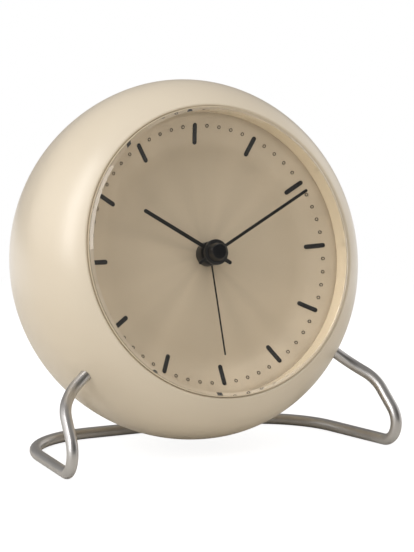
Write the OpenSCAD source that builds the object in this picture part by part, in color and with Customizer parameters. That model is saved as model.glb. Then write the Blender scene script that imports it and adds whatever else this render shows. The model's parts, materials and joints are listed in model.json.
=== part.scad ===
// Table clock: a ball-shaped quartz alarm clock that leans back on one bent wire stand.
// Millimetres, +Z up, dial towards -Y. The origin is on the table, below the middle of the clock's box.
// Inside case_frame() x is towards 3 o'clock, y towards 12 o'clock and z towards the viewer,
// with z = 0 on the dial's slope, where the minute rings stand.

/* [Case] */
// Outside diameter of the ball-shaped case
case_d = 110; // [104:1:120]
// Lean of the dial back from upright, in degrees
tilt = 14; // [8:1:18]
// Gap between the case and the table
case_lift = 3.3; // [2:0.1:6]
// Thickness of the case walls
wall = 2.5; // [2:0.1:2.8]
// Width of the rolled front from the lip to the widest section
rim_w = 11.1; // [10.5:0.1:12]
// Distance of the lip plane ahead of the widest section
lip_ahead = 20.9; // [19.5:0.1:22]
// Rounding of the lip edge
lip_edge = 0.6; // [0.3:0.1:0.8]
// Distance of the minute rings ahead of the widest section
dial_ahead = 12.3; // [11.5:0.1:13]
// Distance of the seam behind the widest section
seam_behind = 27; // [24:0.5:27]
// Distance of the flat back behind the widest section
back_behind = 37.7; // [37:0.1:39]

/* [Glass and dial] */
// Thickness of the glass
glass_t = 2; // [1.5:0.1:2.4]
// Width of the bevel round the glass
glass_bevel = 0.8; // [0.4:0.1:1]
// Height of the glass above the lip
glass_proud = 0.8; // [0.4:0.1:1.2]
// Width of the gasket line round the glass
gasket_w = 0.4; // [0.3:0.05:0.6]
// Width of the surround's top face under the glass
surround_w = 0.8; // [0.7:0.05:1.2]
// Draft of the surround's inner wall, which widens from the dial to the glass
surround_draft = 0.09; // [0.05:0.01:0.3]
// Thickness of the dial plate
dial_t = 0.5; // [0.4:0.1:0.6]
// Depth of the dial's flat middle below the minute rings
dial_sink = 1.9; // [1.6:0.05:2.1]
// Radius of the curve where the dial starts to rise towards its edge
dial_roll_r = 20; // [16:0.5:22]
// Slope of the dial's raised edge, in degrees
dial_slope = 17.5; // [14:0.5:19]
// Distance of the circle of minute rings inside the dial's visible edge
minute_ring_in = 3.97; // [3.4:0.01:5.5]
// Outside diameter of one minute ring
minute_mark_d = 1.05; // [0.9:0.05:1.4]
// Line width of one minute ring
minute_line = 0.27; // [0.2:0.01:0.35]
// Length of an hour baton
baton_len = 6.4; // [5:0.1:8]
// Width of an hour baton
baton_w = 1.4; // [1:0.1:2]
// Distance of a baton's outer end outside the circle of minute rings
baton_out = 0.9; // [0.5:0.1:1.5]
// Height of the marks above the dial
mark_t = 0.1; // [0.05:0.01:0.15]

/* [Hands] */
// Hour hand, degrees clockwise from 12
hour_angle = 303.4; // [0:0.1:360]
// Minute hand, degrees clockwise from 12
minute_angle = 63.4; // [0:0.1:360]
// Alarm hand, degrees clockwise from 12
alarm_angle = 177.7; // [0:0.1:360]
// Distance of the hour hand's tip inside the circle of minute rings
hour_short = 13; // [9:0.5:19]
// Tail of the hour hand
hour_tail = 6.6; // [5:0.1:9]
// Width of the hour hand
hour_w = 1.2; // [1:0.05:1.6]
// Distance of the minute hand's tip inside the circle of minute rings
minute_short = 1.2; // [0:0.2:7]
// Tail of the minute hand
minute_tail = 6.7; // [5:0.1:9]
// Width of the minute hand
minute_w = 0.95; // [0.8:0.05:1.4]
// Distance of the alarm hand's tip inside the circle of minute rings
alarm_short = 8.1; // [5:0.1:15]
// Width of the alarm hand
alarm_w = 0.5; // [0.4:0.05:0.8]
// Diameter of the minute hand's disc
hand_disc_d = 7.8; // [6.8:0.1:8.4]
// Diameter of the cap's foot
cap_foot_d = 6.6; // [5.6:0.1:7]
// Diameter of the cap's face
cap_face_d = 4.6; // [4:0.1:5.2]
// Height of the cap
cap_h = 2; // [1.6:0.1:2.1]

/* [Stand] */
// Diameter of the stand's wire
wire_d = 3.5; // [3:0.1:4]
// Place of each wire end, degrees from 12 o'clock
socket_angle = 127.5; // [124:0.5:131]
// Distance of the wire ends ahead of the widest section
socket_ahead = 7; // [6.6:0.1:7.6]
// Length of wire outside the case at each end, to the first bend's corner
shoulder_out = 5.4; // [5:0.1:6]
// Bend radius where the wire turns forward
shoulder_bend = 13; // [10:0.5:14]
// Bend radius where the wire turns down
knee_bend = 14; // [10:0.5:15]
// Bend radius of each front foot
foot_bend = 6.2; // [6:0.1:6.6]
// Bend radius of each rear corner
rear_bend = 29; // [24:1:31]

/* [Movement] */
// Distance between neighbouring arbors of the motion work and of the alarm work
setting_dist = 12; // [11.8:0.05:12]
// Room between the outermost wheel and the movement's wall
movement_room = 0.7; // [0.6:0.05:1.2]
// Depth of the movement's box
movement_depth = 15.5; // [15.5:0.1:17]
// Wall of the movement's box and its cover
movement_wall = 1.5; // [1.3:0.1:1.6]
// Thickness of the dial carrier
carrier_t = 2; // [1.9:0.1:2.4]
// Clock angle of the minute wheel and, mirrored, of the alarm idler
setting_angle = 50; // [49:0.5:51]

/* [Rear controls] */
// Diameter of the two setting knobs
knob_d = 13; // [11:0.5:14]
// Height of the two setting knobs
knob_h = 6.2; // [5:0.1:7]
// Diameter of the setting arbors
arbor_d = 3; // [2.6:0.1:3.2]
// Width of the alarm slider
slider_w = 3.4; // [3:0.1:4]
// Travel of the alarm slider to each side
slider_travel = 2; // [1.5:0.1:2.4]
// Diameter of the sounder
sounder_d = 19.2; // [18:0.1:19.6]

/* [Battery] */
// Length of one cell with its cap
cell_len = 50.2; // [49.5:0.1:50.5]
// Diameter of one cell
cell_d = 14.2; // [13.8:0.1:14.4]
// Room at each end of a cell for its contact
cell_end_room = 1.1; // [1:0.05:1.4]
// Gap between the two cells
cell_apart = 0.8; // [0.6:0.1:1]
// Gap between the cells and the bay's upper and lower walls
cell_side_gap = 0.4; // [0.3:0.05:0.6]
// Distance of the bay's middle below the middle of the back
bay_drop = 9.7; // [9.6:0.1:10]
// Thickness of the battery door
door_t = 2.2; // [2:0.1:2.3]

/* [Clearances] */
// Gap of a turning shaft in its hole, at the radius
run_gap = 0.08; // [0.05:0.01:0.1]
// Gap of a seated or glued piece, at the radius
seat_gap = 0.04; // [0.02:0.01:0.06]
// Gap of a loose piece in its pocket
loose_gap = 0.2; // [0.15:0.05:0.25]
// Gap round the battery door and under the knobs
door_gap = 0.3; // [0.25:0.05:0.4]

/* [Hidden] */

$fn = 96;
// Overrun of cuts
over = 1;

// Case
case_r = case_d / 2;
lip_r = case_r - rim_w;
roll_r = (rim_w * rim_w + lip_ahead * lip_ahead) / (2 * rim_w);
roll_in = case_r - roll_r;
lip_w = lip_ahead - dial_ahead;
case_centre_h = case_lift + case_r;
back_w = -back_behind - dial_ahead;
back_in_w = back_w + wall;
// Length of the ring on the rear shell that centres it in the front shell
spigot_len = 2;
spigot_t = 1.2;
spigot_root = 3;

// Glass, gasket and surround
glass_top = lip_w + glass_proud;
glass_low = glass_top - glass_t;
glass_r = lip_r - gasket_w;
// Depth of the gasket's edge below the lip plane
gasket_depth = 0.35;
surround_r = lip_r - seat_gap;
surround_top_r = lip_r - seat_gap - surround_w;
surround_low_r = surround_top_r - surround_draft;
minute_ring_r = surround_low_r - minute_ring_in;
// Height of the surround's flange above the minute rings
flange_h = 3.9;
// Width of the surround's flange outside its upper wall
flange_out = 0.9;
// Radius of the dial, the surround's flange and the carrier
flange_r = surround_r + flange_out;
skirt_in = flange_r + loose_gap;
skirt_t = 2;
skirt_out = skirt_in + skirt_t;
shoulder_w = flange_h + loose_gap;
dial_flat_w = -dial_sink;
dial_edge_w = (surround_low_r - minute_ring_r) * tan(dial_slope);
dial_roll_end_r = minute_ring_r - (dial_sink - dial_roll_r * (1 - cos(dial_slope))) / tan(dial_slope);
dial_flat_r = dial_roll_end_r - dial_roll_r * sin(dial_slope);
// Number of steps of the dial's curve
dish_steps = 8;

// Carrier and its clamps
carrier_top = dial_flat_w - dial_t;
carrier_low = carrier_top - carrier_t;
carrier_rim_top = dial_edge_w - dial_t;
clamp_t = 1;
clamp_w = 7;
// Overlap of a clamp on the carrier
clamp_hold = 2.5;
clamp_boss_r = 2.6;
clamp_at = skirt_in + clamp_boss_r + loose_gap;
clamp_boss_h = 3.5;
clamp_shank_r = 0.8;
clamp_head_r = 1.9;
clamp_head_h = 1.2;
clamp_pilot = 2.6;

// Screws of the rear shell, and the carrier's posts
rear_shank_r = 1.1;
rear_head_r = 2.3;
rear_head_h = 1.7;
rear_tube_r = 3.2;
post_r = 2.8;
// Gap between a post and the movement, and between a screw's tube and the battery tray
post_gap = 0.7;
tube_gap = 2.8;
// Length of the carrier's posts
post_len = 25.6;
post_end_w = carrier_low - post_len;
post_pilot = 8;
// Thread length of a rear screw in its post
rear_grip = 6.5;
// Depth of the screw heads' seats below the flat back
head_seat = 4;

// Tooth counts
cannon_n = 12;
minute_n = 36;
minute_pinion_n = 10;
hour_n = 40;
alarm_n = 36;
idler_n = 12;
pinion_n = 8;
rotor_wheel_n = 48;
seconds_n = 40;
third_n = 60;
centre_n = 64;

// From each arbor of the train to the next, from the centre to the rotor: distance and clock angle
third_dist = 11.52;
third_angle = 203;
seconds_dist = 10.88;
seconds_angle = 90;
rotor_wheel_dist = 8.64;
rotor_wheel_angle = 115;
rotor_dist = 8.96;
rotor_angle = 235;

// Places of the arbors
centre_at = [0, 0];
minute_at = clock_point(setting_angle, setting_dist);
time_at = 2 * minute_at;
idler_at = clock_point(-setting_angle, setting_dist);
alarm_at = 2 * idler_at;
third_at = clock_point(third_angle, third_dist);
seconds_at = third_at + clock_point(seconds_angle, seconds_dist);
rotor_wheel_at = seconds_at + clock_point(rotor_wheel_angle, rotor_wheel_dist);
rotor_at = rotor_wheel_at + clock_point(rotor_angle, rotor_dist);

// Modules of the meshing pairs
setting_module = mesh_module(setting_dist, cannon_n, minute_n);
hour_module = mesh_module(setting_dist, minute_pinion_n, hour_n);
centre_module = mesh_module(third_dist, pinion_n, centre_n);
third_module = mesh_module(seconds_dist, pinion_n, third_n);
seconds_module = mesh_module(rotor_wheel_dist, pinion_n, seconds_n);
rotor_module = mesh_module(rotor_dist, pinion_n, rotor_wheel_n);
// One tooth: height in modules from the pitch circle, and place as a share of the tooth pitch
tooth_top_share = 0.8;
tooth_shares = [[-1.05, -0.23], [0, -0.2], [tooth_top_share, -0.065], [tooth_top_share, 0.065], [0, 0.2],
    [-1.05, 0.23]];
wheel_tip_r = setting_module * (alarm_n / 2 + tooth_top_share);

// Movement box, seen from the front: half width and half height
move_x = time_at[0] + wheel_tip_r + movement_room + movement_wall;
move_y = time_at[1] + wheel_tip_r + movement_room + movement_wall;
movement_w = 2 * move_x;
movement_h = 2 * move_y;
base_top = carrier_low;
base_face = base_top - movement_wall;
base_low = base_top - movement_depth;
cover_low = base_low - movement_wall;
// Depth of a pivot in its plate
pivot_depth = 0.9;
pivot_front = base_face + pivot_depth;
pivot_back = base_low - pivot_depth;
pivot_r = 0.5;
// Lugs that hold the movement on the carrier
lug_r = 2.6;
lug_out = 2.2;
lug_x = move_x + lug_out;
lug_in = 5;
lug_y = move_y - lug_in;
lug_shank_r = 0.7;
lug_head_r = 1.3;
lug_head_h = 0.9;
lug_grip = 1.3;
// Bosses of the movement's cover
cover_boss_r = 1.6;
cover_boss_in = 2;
cover_boss_x = move_x - movement_wall - cover_boss_in;
cover_boss_y = move_y - movement_wall - cover_boss_in;
cover_shank_r = 0.6;
cover_head_r = 1.4;
cover_head_h = 0.8;
cover_grip = 4;

// Layers of the wheels, from the front plate backwards
wheel_t = 1;
train_t = 0.6;
layer_gap = 0.8;
// Overlap of a pinion past each face of its wheel
pinion_more = 0.15;
// Gap between the front plate and the first layer
plate_gap = 0.6;
alarm_layer = base_face - plate_gap;
hour_layer = alarm_layer - wheel_t - layer_gap;
minute_layer = hour_layer - wheel_t - layer_gap;
centre_layer = minute_layer - wheel_t - layer_gap;
third_layer = centre_layer - train_t - layer_gap;
seconds_layer = third_layer - train_t - layer_gap;
rotor_layer = seconds_layer - train_t - layer_gap;

// Turn of each toothed piece at rest, so that its teeth stand in the gaps of its neighbour
minute_turn = mesh_turn(centre_at, minute_at, cannon_n, 0, minute_n);
time_turn = mesh_turn(minute_at, time_at, minute_n, minute_turn, cannon_n);
hour_turn = mesh_turn(minute_at, centre_at, minute_pinion_n, 0, hour_n);
idler_turn = mesh_turn(centre_at, idler_at, alarm_n, 0, idler_n);
alarm_turn = mesh_turn(idler_at, alarm_at, idler_n, idler_turn, alarm_n);
rotor_wheel_turn = mesh_turn(rotor_at, rotor_wheel_at, pinion_n, 0, rotor_wheel_n);
seconds_turn = mesh_turn(rotor_wheel_at, seconds_at, pinion_n, 0, seconds_n);
third_turn = mesh_turn(seconds_at, third_at, pinion_n, 0, third_n);
centre_turn = mesh_turn(third_at, centre_at, pinion_n, 0, centre_n);

// Pipes and hubs on the centre line
cannon_r = 0.9;
cannon_tail_r = 0.8;
hour_pipe_r = 1.5;
alarm_pipe_r = 2.2;
bush_t = 1;
bush_r = alarm_pipe_r + run_gap + bush_t;
train_hub_r = 1.5;
train_hub_h = 1.2;

// Reach of each hand from the centre
hour_len = minute_ring_r - hour_short;
minute_len = minute_ring_r - minute_short;
alarm_len = minute_ring_r - alarm_short;

// Heights of the hands above the minute rings
alarm_hub_low = 0.3;
alarm_hub_h = 1.4;
alarm_hub_r = 3.7;
alarm_blade_low = 0.4;
alarm_blade_t = 0.2;
hour_hub_low = 2.3;
hour_hub_h = 1.2;
hour_hub_r = 3.2;
hour_blade_low = 2.9;
blade_t = 0.3;
minute_disc_low = 4;
minute_disc_h = 0.9;
// Length of each pipe inside its hub
hub_grip = 1.1;
cap_grip = 0.8;
cap_seat = minute_disc_low + minute_disc_h;

// Motor and board
magnet_r = 3;
magnet_h = 3;
magnet_hole_gap = 0.5;
stator_t = 1;
// Height of the stator's front face above the centre wheel's
stator_rise = 0.2;
stator_layer = centre_layer + stator_rise;
stator_low = stator_layer - stator_t;
stator_bar = 3;
stator_plate_w = 9.9;
stator_plate_h = 9.4;
// Distance of the low bar's middle below the rotor, and of the upright legs left of it
bar_below_rotor = 3.2;
coil_from_rotor = 27.4;
bend_from_rotor = 19.4;
// Gap between the coil's bobbin and the legs' bars
coil_gap = 0.6;
coil_len = 13.8;
leg_span = coil_len + stator_bar + 2 * coil_gap;
coil_x = rotor_at[0] - coil_from_rotor;
leg_bend_x = rotor_at[0] - bend_from_rotor;
leg_low_y = rotor_at[1] - bar_below_rotor;
leg_high_y = leg_low_y + leg_span;
coil_low_y = (leg_low_y + leg_high_y - coil_len) / 2;
coil_flange_r = 4;
coil_flange_t = 0.7;
coil_tube_r = 2.2;
winding_r = 3.7;
stator_post_r = 1.1;
// Places of the posts that carry the stator, on its upright leg and on its low bar
post_below_bend = 2.4;
post_left_of_rotor = 8.9;
post_right_of_rotor = 3.3;
stator_posts_at = [[leg_bend_x, leg_high_y - post_below_bend],
    [rotor_at[0] - post_left_of_rotor, leg_low_y], [rotor_at[0] + post_right_of_rotor, leg_low_y]];
// Distance of the quartz can beside the coil
can_beside_coil = 4;
can_x = coil_x + can_beside_coil;
can_r = 1;
can_len = 6.5;
can_from_edge = 1.6;
board_t = 1;
board_h = 25.3;
board_gap_x = 0.4;
board_gap_y = 4.2;
board_low_y = -move_y + movement_wall + board_gap_y;
// Height of the pads that the board rests on
board_pad = 1.2;
board_pad_r = 1.4;
board_pad_in = 2;
board_top = base_face - board_pad;
board_low = board_top - board_t;
board_left = -move_x + movement_wall + board_gap_x;
board_w = can_x + can_from_edge - board_left;
board_pads_at = [[board_left + board_pad_in, board_low_y + board_h - board_pad_in],
    [board_left + board_w - board_pad_in, board_low_y + board_pad_in]];
chip_side = 5;
chip_t = 1;

// Battery bay, door and contacts
bay_w = cell_len + 2 * cell_end_room;
bay_h = 2 * cell_d + cell_apart + 2 * cell_side_gap;
bay_x = bay_w / 2;
bay_high = bay_h / 2 - bay_drop;
bay_bottom = -bay_h / 2 - bay_drop;
tray_wall = 1.3;
rear_screw_x = max(bay_x + tray_wall + tube_gap + rear_tube_r, move_x + post_gap + post_r);
rear_screw_y = 12;
rear_screws_at = [[-rear_screw_x, -rear_screw_y], [-rear_screw_x, rear_screw_y],
    [rear_screw_x, -rear_screw_y], [rear_screw_x, rear_screw_y]];
cell_r = cell_d / 2;
// Gap between the cells and the door
cell_to_door = 0.7;
cell_pitch = cell_d + cell_apart;
cell_w = back_w + door_t + cell_to_door + cell_r;
tray_floor = cell_w + cell_r + loose_gap;
tray_top = tray_floor + tray_wall;
cap_nub_r = 2.75;
cap_nub_h = 1.2;
leaf_t = 0.4;
leaf_w = 9;
leaf_h = 8;
leaf_bump_r = 2.5;
leaf_bump_gap = 0.1;
leaf_bump_h = bay_x - leaf_t - cell_len / 2 - leaf_bump_gap;
strip_w = 3;
strip_slot = 0.3;
pin_r = 0.72;
pin_len = 1;
hinge_y = bay_bottom + door_gap + door_t / 2;
hinge_w = back_w + door_t / 2;
notch_r = 6;
notch_depth = 1.2;

// Knobs, slider, switch and sounder
knob_r = knob_d / 2;
knob_low = back_w - door_gap;
knob_end = knob_low - knob_h;
knob_grooves = 24;
knob_groove_r = 0.35;
knob_chamfer = 0.6;
arbor_r = arbor_d / 2;
arbor_front_r = 0.8;
arbor_back_gap = 0.4;
// Length of an arbor inside its knob
knob_grip = 4.5;
slider_h = 2.8;
slider_out = 1.5;
slider_foot = 3;
slider_foot_w = 5.4;
slot_x = slider_w / 2 + slider_travel + loose_gap;
slot_y = slider_h / 2 + loose_gap;
switch_w = 15;
switch_h = 6.4;
switch_depth = 5.5;
switch_floor = 4;
// Gaps above the battery tray and above the switch
switch_gap = 3.1;
sounder_gap = 1.4;
slider_y = bay_high + tray_wall + switch_gap + switch_h / 2;
sounder_h = 6;
sounder_hole_r = 1.5;
sounder_hole_depth = 2;
sounder_wall = 1.2;
sounder_y = slider_y + switch_h / 2 + sounder_gap + sounder_wall + loose_gap + sounder_d / 2;
sounder_ring_h = 5;
sound_hole_r = 0.9;
sound_hole_pitch = 3.6;

// Stand: corner points of the wire on one side, as shares of the case radius sideways and
// front to back, and of the height of the case's middle upwards
wire_r = wire_d / 2;
leg_share = [0.967, -0.3965, 0.3472];
foot_share = [1.0255, -0.716];
rear_share = [0.851, 0.476];
socket_boss_r = 3.8;
// Thickness of the case between a wire's end and the dial's seat
socket_floor_t = 0.6;
socket_floor_r = skirt_out + socket_floor_t;
socket_surface_r = sqrt(case_r * case_r - socket_ahead * socket_ahead);

function clock_point(a, r) = [r * sin(a), r * cos(a)];
// Face of the dial raised by h, from its flat middle to its visible edge, in (radius, height)
function dish_line(h) = concat([for (k = [0:dish_steps]) let (a = dial_slope * k / dish_steps)
    [dial_flat_r + dial_roll_r * sin(a), dial_flat_w + dial_roll_r * (1 - cos(a)) + h]],
    [[surround_low_r, dial_edge_w + h]]);
function turned(list) = [for (i = [len(list) - 1:-1:0]) list[i]];
function mesh_module(dist, n, m) = 2 * dist / (n + m);
function heading(p, q) = atan2(q[1] - p[1], q[0] - p[0]);
function mesh_turn(p, q, n, turn, m) =
    let (h = heading(p, q)) h + 180 + 180 / m - (turn - h) * n / m;
function tooth_points(n, m) = [for (i = [0:n - 1]) for (s = tooth_shares)
    let (r = m * (n / 2 + s[0]), a = 360 * (i + s[1]) / n) [r * cos(a), r * sin(a)]];
function unit(v) = v / norm(v);
// A point of the case frame, given from the middle of the ball, in the frame of the table
function tilted(x, y, ahead) = [x, y * sin(tilt) - ahead * cos(tilt),
    case_centre_h + y * cos(tilt) + ahead * sin(tilt)];
function socket_point(r) = tilted(r * sin(socket_angle), r * cos(socket_angle), socket_ahead);

// Corners of the wire's right half from the middle of the rear bar to the end in the case,
// with the ball's middle above x = y = 0, and the bend radius at each corner
wire_corners = [[0, rear_share[1] * case_r, wire_r],
    [rear_share[0] * case_r, rear_share[1] * case_r, wire_r],
    [foot_share[0] * case_r, foot_share[1] * case_r, wire_r],
    [leg_share[0] * case_r, leg_share[1] * case_r, leg_share[2] * case_centre_h],
    socket_point(socket_surface_r + shoulder_out),
    socket_point(socket_floor_r + seat_gap)];
wire_bends = [0, rear_bend, foot_bend, knee_bend, shoulder_bend, 0];
wire_last = len(wire_corners) - 1;
wire_sides = 16;
// Largest turn of the wire from one ring to the next, in degrees
ring_turn = 11;
function into(i) = unit(wire_corners[i] - wire_corners[i - 1]);
function out_of(i) = unit(wire_corners[i + 1] - wire_corners[i]);
function turn_at(i) = acos(into(i) * out_of(i));
function bend_start(i) = wire_corners[i] - into(i) * wire_bends[i] * tan(turn_at(i) / 2);
function bend_middle(i) =
    wire_corners[i] + unit(out_of(i) - into(i)) * wire_bends[i] / cos(turn_at(i) / 2);
// A place on the wire is a point and the direction of the wire there
function bend_place(i, share) = let (a = share * turn_at(i), ex = unit(bend_start(i) - bend_middle(i)))
    [bend_middle(i) + wire_bends[i] * (cos(a) * ex + sin(a) * into(i)), cos(a) * into(i) - sin(a) * ex];
wire_places = concat([[wire_corners[0], out_of(0)]],
    [for (i = [1:wire_last - 1]) let (n = ceil(turn_at(i) / ring_turn)) for (k = [0:n]) bend_place(i, k / n)],
    [[wire_corners[wire_last], into(wire_last)]]);
// Direction of a ring's first point, carried along from upright at the rear bar
function carried(i) = i == 0 ? [0, 0, 1]
    : let (a = carried(i - 1), t = wire_places[i][1]) unit(a - t * (a * t));
function ring(i, side) = let (a = carried(i), b = cross(wire_places[i][1], a))
    [for (k = [0:wire_sides - 1]) let (t = 360 * k / wire_sides,
        p = wire_places[i][0] + wire_r * (cos(t) * a + sin(t) * b)) [side * p[0], p[1], p[2]]];

// Place of the case so that the middle of the whole box is above the origin, front to back
foot_corner = 2;
front_reach = bend_middle(foot_corner)[1] - foot_bend - wire_r;
back_reach = (time_at[1] + knob_r) * sin(tilt) - (knob_end + dial_ahead) * cos(tilt);
case_y = -(front_reach + back_reach) / 2;

module case_frame() {
    translate([0, case_y, case_centre_h]) rotate([90 - tilt, 0, 0]) translate([0, 0, dial_ahead]) children();
}

// A cylinder along the dial axis between two heights
module rod(p, r, from, to) {
    translate([p[0], p[1], min(from, to)]) cylinder(h = abs(to - from), r = r);
}

// A box along the dial axis between two heights, round the point p
module block(p, w, h, from, to) {
    translate([p[0] - w / 2, p[1] - h / 2, min(from, to)]) cube([w, h, abs(to - from)]);
}

// A flat bar with round ends between two points
module bar(p, q, w) {
    translate(p) rotate(heading(p, q)) translate([0, -w / 2]) square([norm(q - p), w]);
    translate(p) circle(w / 2);
    translate(q) circle(w / 2);
}

module toothed(p, n, m, turn, from, t) {
    translate([p[0], p[1], from - t]) rotate(turn) linear_extrude(t) polygon(tooth_points(n, m));
}

// A pinion that overlaps both faces of the wheel in the layer
module pinion(p, n, m, turn, layer, t) {
    toothed(p, n, m, turn, layer + pinion_more, t + 2 * pinion_more);
}

module arbor(p) {
    rod(p, pivot_r, pivot_front, pivot_back);
}

// Section of the ball with the rolled front, thinned by t, in (radius, distance ahead of the middle)
module ball_section(t) {
    intersection() {
        union() {
            intersection() {
                circle(case_r - t);
                translate([-case_r, -case_r]) square([2 * case_r, case_r]);
            }
            intersection() {
                union() {
                    translate([roll_in, 0]) circle(roll_r - t);
                    square([roll_in, roll_r - t]);
                }
                square([case_r, case_r]);
            }
        }
        translate([0, -case_r]) square([case_r, 2 * case_r]);
    }
}

// Tip of the lip that the edge rounding takes away
module lip_tip() {
    lip_mid = [lip_r + lip_edge, sqrt((roll_r - lip_edge) * (roll_r - lip_edge)
        - (lip_r + lip_edge - roll_in) * (lip_r + lip_edge - roll_in))];
    away = unit(lip_mid - [roll_in, 0]);
    difference() {
        polygon([[lip_r - over, lip_mid[1]], lip_mid, lip_mid + away * (lip_edge + over),
            [lip_r - over, lip_ahead + over + lip_edge]]);
        translate(lip_mid) circle(lip_edge);
    }
}

module case_section() {
    difference() {
        intersection() {
            ball_section(0);
            translate([0, -seam_behind]) square([case_r, seam_behind + lip_ahead]);
        }
        difference() {
            ball_section(wall);
            translate([lip_r, dial_ahead + carrier_low])
                square([skirt_out - lip_r, lip_ahead - dial_ahead - carrier_low]);
        }
        square([lip_r, case_r]);
        square([skirt_in, dial_ahead + shoulder_w]);
        lip_tip();
    }
}

module socket_place(side) {
    translate([0, 0, socket_ahead - dial_ahead]) rotate(90 - side * socket_angle)
        rotate([0, 90, 0]) children();
}

module case_shell() {
    boss_end = sqrt((case_r - wall / 2) * (case_r - wall / 2)
        - (socket_ahead + socket_boss_r) * (socket_ahead + socket_boss_r));
    color("#d3c6ac") case_frame() difference() {
        union() {
            translate([0, 0, -dial_ahead]) rotate_extrude() case_section();
            for (a = [0:90:270]) rod(clock_point(a, clamp_at), clamp_boss_r,
                carrier_low, carrier_low + clamp_boss_h);
            for (side = [-1, 1]) socket_place(side) translate([0, 0, skirt_in + skirt_t / 2])
                cylinder(h = boss_end - skirt_in - skirt_t / 2, r = socket_boss_r);
        }
        for (a = [0:90:270]) rod(clock_point(a, clamp_at), clamp_shank_r + seat_gap,
            carrier_low - over, carrier_low + clamp_pilot);
        for (side = [-1, 1]) socket_place(side) translate([0, 0, socket_floor_r])
            cylinder(h = case_r, r = wire_r + run_gap);
    }
}

module rear_section() {
    difference() {
        intersection() {
            ball_section(0);
            translate([0, -back_behind]) square([case_r, back_behind - seam_behind]);
        }
        intersection() {
            ball_section(wall);
            translate([0, wall - back_behind]) square([case_r, back_behind]);
        }
    }
    seam_in = sqrt((case_r - wall) * (case_r - wall) - seam_behind * seam_behind);
    translate([seam_in - seat_gap - spigot_t, -seam_behind - spigot_root])
        square([spigot_t, spigot_len + spigot_root]);
}

module rear_shell() {
    color("#d0c3a9") case_frame() difference() {
        union() {
            translate([0, 0, -dial_ahead]) rotate_extrude() rear_section();
            for (p = rear_screws_at) rod(p, rear_tube_r, post_end_w - seat_gap, back_in_w - wall / 2);
            rod([0, sounder_y], sounder_d / 2 + loose_gap + sounder_wall, back_in_w - wall / 2,
                back_in_w + sounder_ring_h);
        }
        rod([0, sounder_y], sounder_d / 2 + loose_gap, back_in_w, back_in_w + sounder_ring_h + over);
        for (p = rear_screws_at) {
            rod(p, rear_shank_r + loose_gap, back_w - over, post_end_w + over);
            rod(p, rear_head_r + loose_gap, back_w - over, back_w + head_seat);
        }
        for (p = [time_at, alarm_at]) rod(p, arbor_r + loose_gap, back_w - over, back_in_w + over);
        block([0, slider_y], 2 * slot_x, 2 * slot_y, back_w - over, back_in_w + over);
        rod([0, sounder_y], sound_hole_r, back_w - over, back_in_w + over);
        for (a = [0:60:300]) rod([0, sounder_y] + clock_point(a, sound_hole_pitch), sound_hole_r,
            back_w - over, back_in_w + over);
        block([0, (bay_high + bay_bottom) / 2], bay_w, bay_h, back_w - over, back_in_w + over);
        for (side = [-1, 1]) translate([side * bay_x, hinge_y, hinge_w]) rotate([0, side * 90, 0])
            translate([0, 0, -over]) cylinder(h = over + pin_len + loose_gap, r = pin_r + run_gap);
        rod([0, bay_high], notch_r, back_w - over, back_w + notch_depth);
    }
}

module crystal() {
    color("#dfe8e6", 0.35) case_frame() rotate_extrude() polygon([[0, glass_low], [glass_r, glass_low],
        [glass_r, glass_top - glass_bevel], [glass_r - glass_bevel, glass_top], [0, glass_top]]);
}

module crystal_gasket() {
    color("#a3967c") case_frame() translate([0, 0, glass_low]) difference() {
        cylinder(h = lip_w - gasket_depth - glass_low, r = lip_r - seat_gap / 2);
        translate([0, 0, -over]) cylinder(h = case_r, r = glass_r + seat_gap / 2);
    }
}

module dial_surround() {
    color("#dccfb4") case_frame() rotate_extrude() polygon([[surround_low_r, dial_edge_w],
        [flange_r, dial_edge_w], [flange_r, flange_h], [surround_r, flange_h], [surround_r, glass_low],
        [surround_top_r, glass_low]]);
}

module dial() {
    hole_r = bush_r + loose_gap;
    color("#cdbfa3") case_frame() rotate_extrude() polygon(concat([[hole_r, dial_flat_w]], dish_line(0),
        [[flange_r, dial_edge_w], [flange_r, carrier_rim_top]], turned(dish_line(-dial_t)),
        [[hole_r, carrier_top]]));
}

// Flat outlines laid on the curve of the dial, as one thin layer
module on_dial() {
    intersection() {
        translate([0, 0, dial_flat_w]) linear_extrude(dial_edge_w + mark_t - dial_flat_w) children();
        rotate_extrude() polygon(concat(dish_line(seat_gap), turned(dish_line(seat_gap + mark_t))));
    }
}

module hour_marks() {
    color("#1c1a18") case_frame() on_dial() for (a = [0:30:330]) bar(
        clock_point(a, minute_ring_r + baton_out - baton_len + baton_w / 2),
        clock_point(a, minute_ring_r + baton_out - baton_w / 2), baton_w);
}

module minute_marks() {
    color("#4a4033") case_frame() on_dial() for (i = [0:59]) if (i % 5 != 0)
        translate(clock_point(6 * i, minute_ring_r)) difference() {
            circle(minute_mark_d / 2, $fn = 24);
            circle(minute_mark_d / 2 - minute_line, $fn = 24);
        }
}

module dial_carrier() {
    color("#e7e2d6") case_frame() difference() {
        union() {
            rod(centre_at, flange_r, carrier_top, carrier_low);
            rotate_extrude() translate([surround_low_r, carrier_low])
                square([flange_r - surround_low_r, carrier_rim_top - carrier_low]);
            for (p = rear_screws_at) rod(p, post_r, carrier_top - carrier_t / 2, post_end_w);
        }
        rod(centre_at, bush_r + loose_gap, over, carrier_low - over);
        for (p = rear_screws_at) rod(p, rear_shank_r + seat_gap, post_end_w + post_pilot, post_end_w - over);
        for (sx = [-1, 1]) for (sy = [-1, 1]) rod([sx * lug_x, sy * lug_y], lug_shank_r + seat_gap,
            carrier_low - over, carrier_low + lug_grip + seat_gap);
    }
}

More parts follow.
